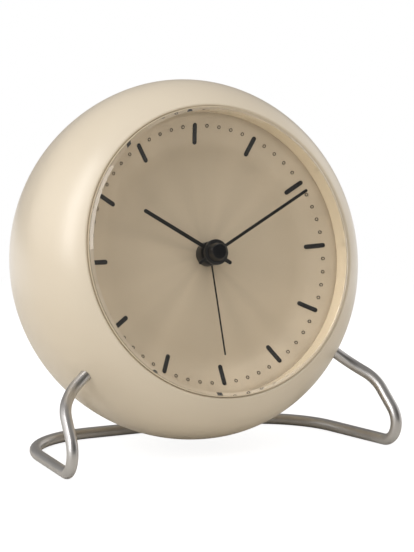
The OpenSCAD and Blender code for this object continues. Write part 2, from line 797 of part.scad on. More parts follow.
module dial_clamps() {
    clamp_in = flange_r - clamp_hold;
    clamp_out = clamp_at + clamp_boss_r - loose_gap;
    color("#b9bbbd") case_frame() for (a = [0:90:270]) rotate(-a) difference() {
        block([0, (clamp_in + clamp_out) / 2], clamp_w, clamp_out - clamp_in,
            carrier_low, carrier_low - clamp_t);
        rod([0, clamp_at], clamp_shank_r + loose_gap, carrier_low + over, carrier_low - clamp_t - over);
    }
}

// A screw whose head's inner face is at the height seat, with its shank towards the dial
module screw(p, shank_r, head_r, head_h, seat, tip, slot) {
    difference() {
        union() {
            rod(p, shank_r, seat, tip);
            rod(p, head_r, seat, seat - head_h);
        }
        block(p, 2 * head_r + over, slot, seat - head_h - over, seat - head_h / 2);
    }
}

module clamp_screws() {
    color("#9a9da0") case_frame() for (a = [0:90:270]) screw(clock_point(a, clamp_at), clamp_shank_r,
        clamp_head_r, clamp_head_h, carrier_low - clamp_t, carrier_low + clamp_pilot - loose_gap,
        clamp_shank_r / 2);
}

module rear_screws() {
    color("#9a9da0") case_frame() for (p = rear_screws_at) screw(p, rear_shank_r, rear_head_r, rear_head_h,
        back_w + head_seat, post_end_w + rear_grip, rear_shank_r / 2);
}

module movement_base() {
    lugs = [for (sx = [-1, 1]) for (sy = [-1, 1]) [sx * lug_x, sy * lug_y]];
    color("#d9d6cc") case_frame() difference() {
        union() {
            difference() {
                block(centre_at, movement_w, movement_h, base_top, base_low);
                block(centre_at, movement_w - 2 * movement_wall, movement_h - 2 * movement_wall, base_face,
                    base_low - over);
            }
            rod(centre_at, bush_r, base_face, base_top + carrier_t + dial_t - seat_gap);
            for (p = lugs) {
                rod(p, lug_r, base_top, base_face);
                block([sign(p[0]) * (abs(p[0]) + move_x - movement_wall / 2) / 2, p[1]],
                    lug_x - move_x + movement_wall / 2, 2 * lug_r, base_top, base_face);
            }
            for (sx = [-1, 1]) for (sy = [-1, 1])
                rod([sx * cover_boss_x, sy * cover_boss_y], cover_boss_r, base_face, base_low);
            for (p = stator_posts_at) rod(p, stator_post_r, base_face, stator_layer);
            for (p = board_pads_at) rod(p, board_pad_r, base_face, board_top);
        }
        rod(centre_at, alarm_pipe_r + run_gap, over, base_face - over);
        for (p = [minute_at, idler_at, third_at, seconds_at, rotor_wheel_at, rotor_at])
            rod(p, pivot_r + run_gap, pivot_front + seat_gap, base_face - over);
        for (p = [time_at, alarm_at])
            rod(p, arbor_front_r + run_gap, pivot_front + seat_gap, base_face - over);
        for (p = lugs) rod(p, lug_shank_r + loose_gap, base_top + over, base_face - over);
        for (sx = [-1, 1]) for (sy = [-1, 1]) rod([sx * cover_boss_x, sy * cover_boss_y],
            cover_shank_r + seat_gap, base_low - over, base_low + cover_grip + seat_gap);
    }
}

module movement_cover() {
    color("#e3e0d6") case_frame() difference() {
        block(centre_at, movement_w, movement_h, base_low, cover_low);
        for (p = [minute_at, idler_at, third_at, seconds_at, rotor_wheel_at, rotor_at])
            rod(p, pivot_r + run_gap, base_low + over, pivot_back - seat_gap);
        rod(centre_at, cannon_tail_r + run_gap, base_low + over, pivot_back - seat_gap);
        for (p = [time_at, alarm_at]) rod(p, arbor_r + run_gap, base_low + over, cover_low - over);
        for (sx = [-1, 1]) for (sy = [-1, 1]) rod([sx * cover_boss_x, sy * cover_boss_y],
            cover_shank_r + loose_gap, base_low + over, cover_low - over);
        for (y = cells_y()) block([-bay_x + leaf_t / 2, y], leaf_t + 2 * strip_slot,
            strip_w + 2 * strip_slot, base_low + over, cover_low - over);
    }
}

module movement_screws() {
    color("#9a9da0") case_frame() for (sx = [-1, 1]) for (sy = [-1, 1]) screw([sx * lug_x, sy * lug_y],
        lug_shank_r, lug_head_r, lug_head_h, base_face, carrier_low + lug_grip, lug_shank_r / 2);
}

module movement_cover_screws() {
    color("#9a9da0") case_frame() for (sx = [-1, 1]) for (sy = [-1, 1])
        screw([sx * cover_boss_x, sy * cover_boss_y], cover_shank_r, cover_head_r, cover_head_h, cover_low,
            base_low + cover_grip, cover_shank_r / 2);
}

module stator() {
    plate_at = rotor_at + [0, (rotor_at[1] - leg_low_y) / 2 - stator_bar / 2];
    leg_in_y = plate_at[1] + stator_plate_h / 2 - stator_bar / 2;
    color("#8d8f92") case_frame() translate([0, 0, stator_low]) linear_extrude(stator_t) difference() {
        union() {
            translate(plate_at - [stator_plate_w, stator_plate_h] / 2)
                square([stator_plate_w, stator_plate_h]);
            bar([rotor_at[0], leg_low_y], [coil_x, leg_low_y], stator_bar);
            bar([rotor_at[0], leg_in_y], [leg_bend_x, leg_in_y], stator_bar);
            bar([leg_bend_x, leg_in_y], [leg_bend_x, leg_high_y], stator_bar);
            bar([leg_bend_x, leg_high_y], [coil_x, leg_high_y], stator_bar);
        }
        translate(rotor_at) circle(magnet_r + magnet_hole_gap);
    }
}

module coil_core() {
    color("#7f8184") case_frame() block([coil_x, (leg_low_y + leg_high_y) / 2], stator_bar,
        leg_high_y - leg_low_y + stator_bar, stator_low, stator_low - stator_t);
}

// Things wound round the core lie along y, with their low end at coil_low_y
module along_coil() {
    translate([coil_x, coil_low_y, stator_low - stator_t / 2]) rotate([-90, 0, 0]) children();
}

module coil_bobbin() {
    color("#3f4a3c") case_frame() difference() {
        along_coil() {
            cylinder(h = coil_len, r = coil_tube_r);
            cylinder(h = coil_flange_t, r = coil_flange_r);
            translate([0, 0, coil_len - coil_flange_t]) cylinder(h = coil_flange_t, r = coil_flange_r);
        }
        block([coil_x, coil_low_y + coil_len / 2], stator_bar + 2 * seat_gap, coil_len + 2 * over,
            stator_low + seat_gap, stator_low - stator_t - seat_gap);
    }
}

module coil_winding() {
    color("#a85c2c") case_frame() along_coil() translate([0, 0, coil_flange_t + seat_gap]) difference() {
        cylinder(h = coil_len - 2 * coil_flange_t - 2 * seat_gap, r = winding_r);
        translate([0, 0, -over]) cylinder(h = coil_len + over, r = coil_tube_r + seat_gap);
    }
}

module circuit_board() {
    color("#2f6b45") case_frame() block([board_left + board_w / 2, board_low_y + board_h / 2],
        board_w, board_h, board_top, board_low);
}

module quartz_can() {
    color("#c4c6c8") case_frame()
        translate([can_x, board_low_y + can_from_edge, board_low - can_r]) rotate([-90, 0, 0])
            cylinder(h = can_len, r = can_r);
}

module control_chip() {
    color("#1b1b1d") case_frame() block([board_left + board_w / 2, board_low_y + board_h - chip_side],
        chip_side, chip_side, board_low, board_low - chip_t);
}

module sounder() {
    color("#26262a") case_frame() difference() {
        rod([0, sounder_y], sounder_d / 2, back_in_w, back_in_w + sounder_h);
        rod([0, sounder_y], sounder_hole_r, back_in_w - over, back_in_w + sounder_hole_depth);
    }
}

function cells_y() = [(bay_high + bay_bottom + cell_pitch) / 2, (bay_high + bay_bottom - cell_pitch) / 2];

module battery_tray() {
    mid = [0, (bay_high + bay_bottom) / 2];
    color("#cfc3aa") case_frame() difference() {
        block(mid, bay_w + 2 * tray_wall, bay_h + 2 * tray_wall, tray_top, back_in_w);
        block(mid, bay_w, bay_h, tray_floor, back_in_w - over);
        for (y = cells_y()) block([-bay_x + leaf_t / 2, y], leaf_t + strip_slot, strip_w + strip_slot,
            tray_top + over, tray_floor - over);
    }
}

// One cell along x: its cap points to the side given by the sign
module cell(y, side) {
    translate([-side * cell_len / 2, y, cell_w]) rotate([0, side * 90, 0]) {
        cylinder(h = cell_len - cap_nub_h, r = cell_r);
        cylinder(h = cell_len, r = cap_nub_r);
    }
}

module battery_cells() {
    color("#5b6470") case_frame() {
        cell(cells_y()[0], 1);
        cell(cells_y()[1], -1);
    }
}

// Contact leaf on the side wall of the tray, with the dimple that meets a cell's end
module leaf(y, side, h) {
    translate([side * (bay_x - leaf_t / 2), y, cell_w]) cube([leaf_t, h, leaf_w], center = true);
}

module dimple(y, side) {
    translate([side * (bay_x - leaf_t / 2), y, cell_w]) rotate([0, -side * 90, 0])
        cylinder(h = leaf_t / 2 + leaf_bump_h, r = leaf_bump_r);
}

module battery_contacts() {
    color("#c9ccce") case_frame() {
        leaf((cells_y()[0] + cells_y()[1]) / 2, 1, leaf_h + cell_pitch);
        for (y = cells_y()) {
            dimple(y, 1);
            leaf(y, -1, leaf_h);
            dimple(y, -1);
            block([-bay_x + leaf_t / 2, y], leaf_t, strip_w, cell_w, board_low - seat_gap);
        }
    }
}

module alarm_switch_body() {
    color("#2a2a2e") case_frame() difference() {
        block([0, slider_y], switch_w, switch_h, back_in_w, back_in_w + switch_depth);
        block([0, slider_y], slider_foot_w + 2 * slider_travel + 2 * loose_gap, 2 * slot_y, back_in_w - over,
            back_in_w + switch_floor);
    }
}

module stand_wire() {
    half = len(wire_places) - 1;
    rings = concat([for (i = [half:-1:1]) ring(i, -1)], [for (i = [0:half]) ring(i, 1)]);
    n = wire_sides;
    last = (len(rings) - 1) * n;
    walls = [for (i = [0:len(rings) - 2]) for (k = [0:n - 1]) let (a = i * n + k, b = i * n + (k + 1) % n)
        each [[a, b, b + n], [a, b + n, a + n]]];
    ends = [[for (k = [n - 1:-1:0]) k], [for (k = [0:n - 1]) last + k]];
    color("#b5b6b6") translate([0, case_y, 0]) polyhedron([for (r = rings) each r], concat(walls, ends));
}

module rotor_magnet() {
    color("#45474b") case_frame() difference() {
        rod(rotor_at, magnet_r, stator_layer + magnet_h / 3, stator_layer - 2 * magnet_h / 3);
        rod(rotor_at, pivot_r + seat_gap, 0, base_low);
    }
}

module rotor_pinion() {
    color("#e9e4d4") case_frame() {
        arbor(rotor_at);
        pinion(rotor_at, pinion_n, rotor_module, 0, rotor_layer, train_t);
    }
}

module intermediate_wheel() {
    color("#e9e4d4") case_frame() {
        arbor(rotor_wheel_at);
        toothed(rotor_wheel_at, rotor_wheel_n, rotor_module, rotor_wheel_turn, rotor_layer, train_t);
        pinion(rotor_wheel_at, pinion_n, seconds_module, 0, seconds_layer, train_t);
    }
}

module seconds_wheel() {
    color("#e9e4d4") case_frame() {
        arbor(seconds_at);
        toothed(seconds_at, seconds_n, seconds_module, seconds_turn, seconds_layer, train_t);
        pinion(seconds_at, pinion_n, third_module, 0, third_layer, train_t);
    }
}

module third_wheel() {
    color("#e9e4d4") case_frame() {
        arbor(third_at);
        toothed(third_at, third_n, third_module, third_turn, third_layer, train_t);
        pinion(third_at, pinion_n, centre_module, 0, centre_layer, train_t);
    }
}

module centre_wheel() {
    hub_top = centre_layer - train_t / 2 + train_hub_h / 2;
    color("#c9a24e") case_frame() difference() {
        union() {
            toothed(centre_at, centre_n, centre_module, centre_turn, centre_layer, train_t);
            rod(centre_at, train_hub_r, hub_top, hub_top - train_hub_h);
        }
        rod(centre_at, cannon_tail_r + run_gap, base_face, base_low);
    }
}

module cannon_pinion() {
    color("#d8d2c0") case_frame() {
        rod(centre_at, cannon_r, minute_layer, cap_seat + cap_grip);
        rod(centre_at, cannon_tail_r, minute_layer, pivot_back);
        pinion(centre_at, cannon_n, setting_module, 0, minute_layer, wheel_t);
    }
}

// Straight hand with round ends, turned clockwise from 12
module blade(angle, reach, tail, w, low, t) {
    translate([0, 0, low]) linear_extrude(t) rotate(-angle) bar([0, w / 2 - tail], [0, reach - w / 2], w);
}

module minute_hand() {
    color("#141414") case_frame() difference() {
        union() {
            blade(minute_angle, minute_len, minute_tail, minute_w, minute_disc_low, blade_t);
            rod(centre_at, hand_disc_d / 2, minute_disc_low, minute_disc_low + minute_disc_h);
        }
        rod(centre_at, cannon_r + seat_gap, 0, cap_seat + over);
    }
}

module hand_cap() {
    color("#0e0e0e") case_frame() difference() {
        translate([0, 0, cap_seat]) cylinder(h = cap_h, r1 = cap_foot_d / 2, r2 = cap_face_d / 2);
        rod(centre_at, cannon_r + seat_gap, cap_seat - over, cap_seat + cap_grip + seat_gap);
    }
}

module minute_wheel() {
    color("#e9e4d4") case_frame() {
        arbor(minute_at);
        toothed(minute_at, minute_n, setting_module, minute_turn, minute_layer, wheel_t);
        pinion(minute_at, minute_pinion_n, hour_module, 0, hour_layer, wheel_t);
    }
}

// Arbor from the movement's front plate to inside its knob at the back
module setting_arbor(p) {
    rod(p, arbor_front_r, pivot_front, base_face);
    rod(p, arbor_r, base_face - arbor_back_gap / 2, knob_low - knob_grip);
    rod(p, arbor_front_r, base_face, base_face - arbor_back_gap);
}

module time_arbor() {
    color("#e9e4d4") case_frame() {
        setting_arbor(time_at);
        pinion(time_at, cannon_n, setting_module, time_turn, minute_layer, wheel_t);
    }
}

// Round knob with grooves in its rim and a chamfered edge
module knob(p) {
    difference() {
        translate([p[0], p[1], knob_end]) difference() {
            rotate_extrude() polygon([[0, 0], [knob_r - knob_chamfer, 0], [knob_r, knob_chamfer],
                [knob_r, knob_h], [0, knob_h]]);
            for (i = [0:knob_grooves - 1]) rotate(360 * i / knob_grooves) translate([knob_r, 0, -over])
                cylinder(h = knob_h + 2 * over, r = knob_groove_r, $fn = 16);
        }
        rod(p, arbor_r + seat_gap, knob_low + over, knob_low - knob_grip - seat_gap);
    }
}

module time_knob() {
    color("#cbbea4") case_frame() knob(time_at);
}

module hour_wheel() {
    color("#e9e4d4") case_frame() difference() {
        union() {
            toothed(centre_at, hour_n, hour_module, hour_turn, hour_layer, wheel_t);
            rod(centre_at, hour_pipe_r, hour_layer - wheel_t, hour_hub_low + hub_grip);
        }
        rod(centre_at, cannon_r + run_gap, over + hour_hub_low + hub_grip, base_low);
    }
}

module hour_hand() {
    color("#141414") case_frame() difference() {
        union() {
            blade(hour_angle, hour_len, hour_tail, hour_w, hour_blade_low, blade_t);
            rod(centre_at, hour_hub_r, hour_hub_low, hour_hub_low + hour_hub_h);
        }
        rod(centre_at, hour_pipe_r + seat_gap, 0, minute_disc_low);
    }
}

module alarm_wheel() {
    color("#e9e4d4") case_frame() difference() {
        union() {
            toothed(centre_at, alarm_n, setting_module, 0, alarm_layer, wheel_t);
            rod(centre_at, alarm_pipe_r, alarm_layer - wheel_t, alarm_hub_low + hub_grip);
        }
        rod(centre_at, hour_pipe_r + run_gap, minute_disc_low, base_low);
    }
}

module alarm_hand() {
    color("#141414") case_frame() difference() {
        union() {
            blade(alarm_angle, alarm_len, 0, alarm_w, alarm_blade_low, alarm_blade_t);
            rod(centre_at, alarm_hub_r, alarm_hub_low, alarm_hub_low + alarm_hub_h);
        }
        rod(centre_at, alarm_pipe_r + seat_gap, 0, minute_disc_low);
    }
}

module alarm_idler() {
    color("#e9e4d4") case_frame() {
        arbor(idler_at);
        pinion(idler_at, idler_n, setting_module, idler_turn, alarm_layer, wheel_t);
    }
}

module alarm_arbor() {
    color("#e9e4d4") case_frame() {
        setting_arbor(alarm_at);
        toothed(alarm_at, alarm_n, setting_module, alarm_turn, alarm_layer, wheel_t);
    }
}

module alarm_knob() {
    color("#cbbea4") case_frame() knob(alarm_at);
}

module alarm_slider() {
    color("#33302b") case_frame() {
        block([0, slider_y], slider_w, slider_h, back_w - slider_out, back_in_w + slider_foot);
        block([0, slider_y], slider_foot_w, slider_h, back_in_w + loose_gap, back_in_w + slider_foot);
    }
}

module battery_door() {
    color("#cbbea4") case_frame() {
        translate([-bay_x + door_gap, hinge_y, hinge_w]) rotate([0, 90, 0])
            cylinder(h = bay_w - 2 * door_gap, r = door_t / 2);
        translate([-bay_x + door_gap, hinge_y, back_w])
            cube([bay_w - 2 * door_gap, bay_high - door_gap - hinge_y, door_t]);
        translate([-bay_x - pin_len, hinge_y, hinge_w]) rotate([0, 90, 0])
            cylinder(h = bay_w + 2 * pin_len, r = pin_r);
    }
}

case_shell();
rear_shell();
crystal();
crystal_gasket();
dial_surround();
dial();
hour_marks();
minute_marks();
dial_carrier();
dial_clamps();
clamp_screws();
rear_screws();
movement_base();
movement_cover();
movement_screws();
movement_cover_screws();
stator();
coil_core();
coil_bobbin();
coil_winding();
circuit_board();
quartz_can();
control_chip();
sounder();
battery_tray();
battery_cells();
battery_contacts();
alarm_switch_body();
stand_wire();
rotor_magnet();
rotor_pinion();
intermediate_wheel();
seconds_wheel();
third_wheel();
centre_wheel();
cannon_pinion();
minute_hand();
hand_cap();
minute_wheel();
time_arbor();
time_knob();
hour_wheel();
hour_hand();
alarm_wheel();
alarm_hand();
alarm_idler();
alarm_arbor();
alarm_knob();
alarm_slider();
battery_door();
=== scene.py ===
import json
from math import acos, asin, atan2, cos, degrees, dist, pi, radians, sin, sqrt, tan

import bmesh
import bpy
from mathutils import Matrix, Vector


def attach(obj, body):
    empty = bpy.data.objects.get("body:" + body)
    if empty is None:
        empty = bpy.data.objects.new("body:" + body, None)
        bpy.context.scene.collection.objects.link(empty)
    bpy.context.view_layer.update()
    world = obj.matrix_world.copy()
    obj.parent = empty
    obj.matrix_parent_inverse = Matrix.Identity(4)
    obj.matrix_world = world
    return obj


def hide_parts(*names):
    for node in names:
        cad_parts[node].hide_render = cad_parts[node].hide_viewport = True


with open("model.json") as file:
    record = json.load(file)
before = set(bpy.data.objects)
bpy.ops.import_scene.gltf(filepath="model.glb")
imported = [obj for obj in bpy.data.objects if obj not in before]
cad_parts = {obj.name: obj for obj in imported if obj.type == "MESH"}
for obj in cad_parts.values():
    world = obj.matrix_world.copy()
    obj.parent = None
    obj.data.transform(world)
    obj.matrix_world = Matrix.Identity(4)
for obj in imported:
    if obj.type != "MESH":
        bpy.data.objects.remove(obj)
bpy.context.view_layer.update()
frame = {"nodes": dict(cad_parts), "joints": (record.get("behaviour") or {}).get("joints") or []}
scene = bpy.context.scene
mm = 0.001

# The case leans back, so most pieces are made in its own directions: x to 3 o'clock,
# y to 12 o'clock and w out of the dial, with w = 0 at the minute rings
dialJoint = next(j for j in frame["joints"] if j["name"] == "minute_hand_turn")
dialCentre = Vector(dialJoint["pos_m"])
outward = -Vector(dialJoint["axis"])
rightward = Vector((1, 0, 0))
upward = outward.cross(rightward)
caseMatrix = Matrix.Translation(dialCentre) @ Matrix((rightward, upward, outward)).transposed().to_4x4()
caseMiddle = -12.3  # where the ball's centre lies on w
ballMiddle = dialCentre + outward * caseMiddle * mm


def direction(azimuth, elevation):
    a, e = radians(azimuth), radians(elevation)
    return Vector((sin(a) * cos(e), -cos(a) * cos(e), sin(e)))


def addObject(name, data):
    obj = bpy.data.objects.new(name, data)
    scene.collection.objects.link(obj)
    return obj


def aimObject(obj, middle, place):
    # Stands the object off in a direction and points it back at the middle
    way = direction(place["azimuth"], place["elevation"])
    obj.location = Vector(middle) + way * place["distance"]
    obj.rotation_mode = "QUATERNION"
    obj.rotation_quaternion = (-way).to_track_quat("-Z", "Y")


camera = dict(azimuth=-27.9, elevation=8.6, distance=1.040, lens=225.1, sensor=36,
              aim=(-0.0010774, -0.0207602, 0.0548398))


def addCamera():
    c = camera
    data = bpy.data.cameras.new("photoCamera")
    data.lens = c["lens"]
    data.sensor_width = c["sensor"]
    cam = addObject("photoCamera", data)
    aimObject(cam, c["aim"], c)
    scene.camera = cam


addCamera()
print("camera is in place")

studio = dict(
    background=(1.0, 1.0, 1.0),
    cool=(0.76, 0.755, 0.76),  # light that fills from the upper left
    warm=(0.70, 0.635, 0.56),  # and from the other side
    coolFrom=(-0.85, -0.3, 0.45),
    dark=dict(azimuth=12, elevation=12, inner=15, outer=80),  # little light comes from behind the camera
    darkShare=0.35,
    wallColour=(0.27, 0.26, 0.25),  # what shines in the pieces, besides the lamps
    ceilingColour=(0.33, 0.325, 0.32),
    ceiling=(48, 70),
    panels=[dict(azimuth=-95, elevation=0, inner=30, outer=68, bottom=(-4, 12), top=(40, 60),
                 colour=(1.30, 1.28, 1.26)),
            dict(azimuth=84, elevation=0, inner=16, outer=56, bottom=(-8, 10), top=(32, 58),
                 colour=(0.95, 0.93, 0.91))],
    flag=dict(azimuth=26, elevation=19, inner=14, outer=42),  # a dark flag keeps reflections off the glass
    flagColour=(0.07, 0.068, 0.065),
)
lamps = dict(
    leftSoftbox=dict(azimuth=-75, elevation=37, distance=1.0, width=0.28, height=0.92, level=5.2,
                     tint=(1, 0.98, 0.965), shines=True),
    topSoftbox=dict(azimuth=-5, elevation=74, distance=1.1, width=1.40, height=1.40, level=0.93,
                    tint=(0.98, 0.99, 1), shines=False),
    backSoftbox=dict(azimuth=120, elevation=8, distance=1.2, width=0.50, height=0.60, level=0.4,
                     tint=(1, 0.96, 0.91), shines=True),
)
floor = dict(radius=1.6, plainFrom=0.16, plainTo=0.34, paint=0.26, glow=0.9, bounce=0.78, shine=0.60,
             tint=(1, 0.965, 0.90))


def feed(tree, socket, value):
    # A socket takes a node, another node's output or a plain value
    if isinstance(value, bpy.types.Node):
        value = value.outputs[0]
    if isinstance(value, bpy.types.NodeSocket):
        tree.links.new(value, socket)
    else:
        socket.default_value = value


def addNode(tree, kind, feeds=None, **values):
    node = tree.nodes.new(kind)
    for name, value in values.items():
        setattr(node, name, value)
    for socket, value in (feeds or {}).items():
        feed(tree, node.inputs[socket], value)
    return node


def arrange(tree):
    # Lays the nodes out in columns by their distance from the output
    column = {node.name: 0 for node in tree.nodes}
    for _ in tree.nodes:
        for link in tree.links:
            column[link.from_node.name] = max(column[link.from_node.name], column[link.to_node.name] + 1)
    rows = {}
    for node in tree.nodes:
        across = column[node.name]
        rows[across] = rows.get(across, 0) + 1
        node.location = (-220 * across, -260 * rows[across])


def mixColour(tree, factor, first, second, blend="MIX"):
    node = addNode(tree, "ShaderNodeMix", data_type="RGBA", blend_type=blend)
    for socket, value in zip((0, 6, 7), (factor, first, second)):
        feed(tree, node.inputs[socket], (*value, 1) if isinstance(value, tuple) else value)
    return node.outputs[2]


def mixShader(tree, factor, first, second):
    return addNode(tree, "ShaderNodeMixShader", {0: factor, 1: first, 2: second})


def mathNode(tree, operation, first, second=0.0, clamp=False):
    sockets = {0: first, 1: second}
    return addNode(tree, "ShaderNodeMath", sockets, operation=operation, use_clamp=clamp).outputs[0]


def vectorNode(tree, operation, *vectors):
    return addNode(tree, "ShaderNodeVectorMath", dict(enumerate(vectors)), operation=operation).outputs


def ramp(tree, value, low, high, outLow=0.0, outHigh=1.0, kind="SMOOTHSTEP"):
    sockets = dict(enumerate((value, low, high, outLow, outHigh)))
    return addNode(tree, "ShaderNodeMapRange", sockets, interpolation_type=kind).outputs[0]


def raySeen(tree, *kinds):
    # 1 for rays of the named kinds, 0 for all others
    path = addNode(tree, "ShaderNodeLightPath")
    seen = path.outputs[kinds[0]]
    for kind in kinds[1:]:
        seen = mathNode(tree, "ADD", seen, path.outputs[kind], clamp=True)
    return seen


def facing(tree, vector, towards):
    return vectorNode(tree, "DOT_PRODUCT", vector, towards)["Value"]


def spread(tree, way, patch):
    # 1 for directions within a patch's inner degrees, fading to 0 at its outer degrees
    far, near = (cos(radians(a)) for a in (patch["outer"], patch["inner"]))
    return ramp(tree, facing(tree, way, direction(patch["azimuth"], patch["elevation"])), far, near)


def sines(angles):
    return [sin(radians(a)) for a in angles]


def dress(tree, shader, **feeds):
    for name, value in feeds.items():
        feed(tree, shader.inputs[name.replace("_", " ")], value)


def newMaterial(name, **sockets):
    mat = bpy.data.materials.new(name)
    mat.use_nodes = True
    tree = mat.node_tree
    shader = tree.nodes["Principled BSDF"]
    dress(tree, shader, **sockets)
    return mat, tree, shader


def buildWorld():
    # Pieces mirror a room of their own, other rays meet plain fill light, and the camera sees white
    s = studio
    world = bpy.data.worlds.new("studio")
    scene.world = world
    world.use_nodes = True
    tree = world.node_tree
    tree.nodes.clear()
    way = addNode(tree, "ShaderNodeTexCoord").outputs["Generated"]
    side = ramp(tree, facing(tree, way, s["coolFrom"]), -1, 1, kind="LINEAR")
    fill = mixColour(tree, side, s["warm"], s["cool"])
    dark = mathNode(tree, "MULTIPLY", spread(tree, way, s["dark"]), s["darkShare"])
    fill = mixColour(tree, dark, fill, (0, 0, 0))
    height = facing(tree, way, (0, 0, 1))
    above = ramp(tree, height, *sines(s["ceiling"]))
    mirrored = mixColour(tree, above, s["wallColour"], s["ceilingColour"])
    for panel in s["panels"]:
        across = spread(tree, way, panel)
        above = ramp(tree, height, *sines(panel["bottom"]))
        below = ramp(tree, height, *sines(panel["top"]), 1.0, 0.0)
        share = mathNode(tree, "MULTIPLY", mathNode(tree, "MULTIPLY", across, above), below)
        mirrored = mixColour(tree, share, mirrored, panel["colour"])
    mirrored = mixColour(tree, spread(tree, way, s["flag"]), mirrored, s["flagColour"])
    lit = mixColour(tree, raySeen(tree, "Is Glossy Ray", "Is Transmission Ray"), fill, mirrored)
    colour = mixColour(tree, raySeen(tree, "Is Camera Ray"), lit, s["background"])
    back = addNode(tree, "ShaderNodeBackground", {"Color": colour})
    addNode(tree, "ShaderNodeOutputWorld", {0: back})
    arrange(tree)
    world.cycles.sampling_method = "NONE"  # so every ray gets the colour of its own kind


def addLamps():
    for name, lamp in lamps.items():
        data = bpy.data.lights.new(name, "AREA")
        data.shape = "RECTANGLE"
        data.size = lamp["width"]
        data.size_y = lamp["height"]
        data.energy = lamp["level"] * pi * lamp["width"] * lamp["height"]
        data.color = lamp["tint"]
        obj = addObject(name, data)
        aimObject(obj, ballMiddle, lamp)
        obj.visible_glossy = lamp["shines"]


def addFloor():
    # Shadowed paper near the clock that fades to the plain background further off
    f = floor
    shape = bmesh.new()
    bmesh.ops.create_circle(shape, cap_ends=True, radius=f["radius"], segments=96)
    mesh = bpy.data.meshes.new("paleFloor")
    shape.to_mesh(mesh)
    shape.free()
    mat, tree, shader = newMaterial("paleFloor")
    tree.nodes.remove(shader)
    far = vectorNode(tree, "LENGTH", addNode(tree, "ShaderNodeTexCoord").outputs["Object"])["Value"]
    plain = ramp(tree, far, f["plainFrom"], f["plainTo"])
    paint = addNode(tree, "ShaderNodeBsdfDiffuse", {"Color": (f["paint"], f["paint"], f["paint"], 1)})
    glow = addNode(tree, "ShaderNodeEmission", {"Strength": f["glow"]})
    near = addNode(tree, "ShaderNodeAddShader", {0: paint, 1: glow})
    white = addNode(tree, "ShaderNodeEmission", {"Color": (*studio["background"], 1)})
    shines = raySeen(tree, "Is Glossy Ray", "Is Transmission Ray")
    level = ramp(tree, shines, 0, 1, f["bounce"], f["shine"], "LINEAR")
    tint = mixColour(tree, 1.0, f["tint"], level, "MULTIPLY")
    bounce = addNode(tree, "ShaderNodeBsdfDiffuse", {"Color": tint})
    lit = mixShader(tree, mathNode(tree, "MULTIPLY", plain, shines), bounce, white)
    shown = mixShader(tree, plain, near, white)
    whole = mixShader(tree, raySeen(tree, "Is Camera Ray"), lit, shown)
    feed(tree, tree.nodes["Material Output"].inputs[0], whole)
    arrange(tree)
    mesh.materials.append(mat)
    obj = addObject("paleFloor", mesh)


buildWorld()
addLamps()
addFloor()
scene.view_settings.view_transform = "Standard"
print("studio is lit")


def objectPlace(tree, scale=(1, 1, 1), leaning=False):
    # Object coordinates, or the case's own directions where leaning is true
    where = addNode(tree, "ShaderNodeTexCoord").outputs["Object"]
    if leaning:
        turn = {"Vector": where, "Location": dialCentre, "Rotation": caseMatrix.to_euler()}
        where = addNode(tree, "ShaderNodeMapping", turn, vector_type="TEXTURE")
    return addNode(tree, "ShaderNodeMapping", {"Vector": where, "Scale": scale})


def noise(tree, vector, scale, detail=3.0):
    sockets = {"Vector": vector, "Scale": scale, "Detail": detail}
    return addNode(tree, "ShaderNodeTexNoise", sockets).outputs["Fac"]


def addBump(tree, shader, height, strength, distance=0.1):
    dress(tree, shader, Normal=addNode(tree, "ShaderNodeBump", {
        "Height": height, "Strength": strength, "Distance": distance * mm}))


def varied(tree, pattern, colour, spread):
    # The colour, a little darker and lighter by a pattern
    dark, light = (tuple(min(1, c * by) for c in colour) for by in (1 - spread, 1 + spread))
    return mixColour(tree, ramp(tree, pattern, 0.3, 0.7), dark, light)


def mouldedPlastic(name, colour, rough=0.42, grain=2600, grainDepth=0.05, cloud=38, spread=0.03, **sockets):
    # Faint clouding of the colour, a fine spark texture and uneven gloss
    mat, tree, shader = newMaterial(name, **sockets)
    where = objectPlace(tree)
    dress(tree, shader, Base_Color=varied(tree, noise(tree, where, cloud, 2.0), colour, spread),
          Roughness=ramp(tree, noise(tree, where, cloud * 6), 0.25, 0.75, rough - 0.035, rough + 0.035))
    addBump(tree, shader, noise(tree, where, grain), grainDepth)
    return mat


def metal(name, colour, rough=0.3, brush=(1, 1, 1), brushScale=900, leaning=False, depth=0.04):
    # Lines or grain stretched by brush, in colour, gloss and bump
    mat, tree, shader = newMaterial(name, Metallic=1.0)
    lines = noise(tree, objectPlace(tree, brush, leaning), brushScale, 4.0)
    dress(tree, shader, Base_Color=varied(tree, lines, colour, 0.06),
          Roughness=ramp(tree, lines, 0.2, 0.8, rough - 0.05, rough + 0.07))
    addBump(tree, shader, lines, depth)
    return mat


casePaint = dict(colour=(0.628, 0.549, 0.425), rough=0.42, spread=0.012, grainDepth=0.03,
                 Coat_Weight=1.0, Coat_Roughness=0.30)
controlPaint = dict(colour=(0.600, 0.512, 0.400), rough=0.42, spread=0.015)
# the dial's dark and light tones are the ends of wedges of painted sheen, partly the lacquer's uneven tone
dialFinish = dict(dark=(0.605, 0.503, 0.366), light=(0.665, 0.553, 0.404), rough=0.40, metallic=0.25,
                  anisotropy=0.5, lines=95, sheenWedges=2.2, drift=1.2)
surroundFinish = dict(colour=(0.800, 0.685, 0.500), rough=0.12, spread=0.012, grainDepth=0.01,
                      Metallic=0.15, Coat_Weight=0.5, Coat_Roughness=0.03)
gasketFinish = dict(colour=(0.520, 0.440, 0.320), rough=0.5, spread=0.05)
wireFinish = dict(colour=(0.60, 0.59, 0.58), rough=0.36, anisotropy=0.3, lines=(60, 90, 1))
cellFinish = dict(split=-9.7, band=12.5, ends=23.2, dark=(0.035, 0.04, 0.048), light=(0.055, 0.06, 0.07),
                  copper=(0.46, 0.23, 0.10), bare=(0.62, 0.62, 0.61))


def alongUv(tree, name):
    return addNode(tree, "ShaderNodeTangent", direction_type="UV_MAP", uv_map=name)


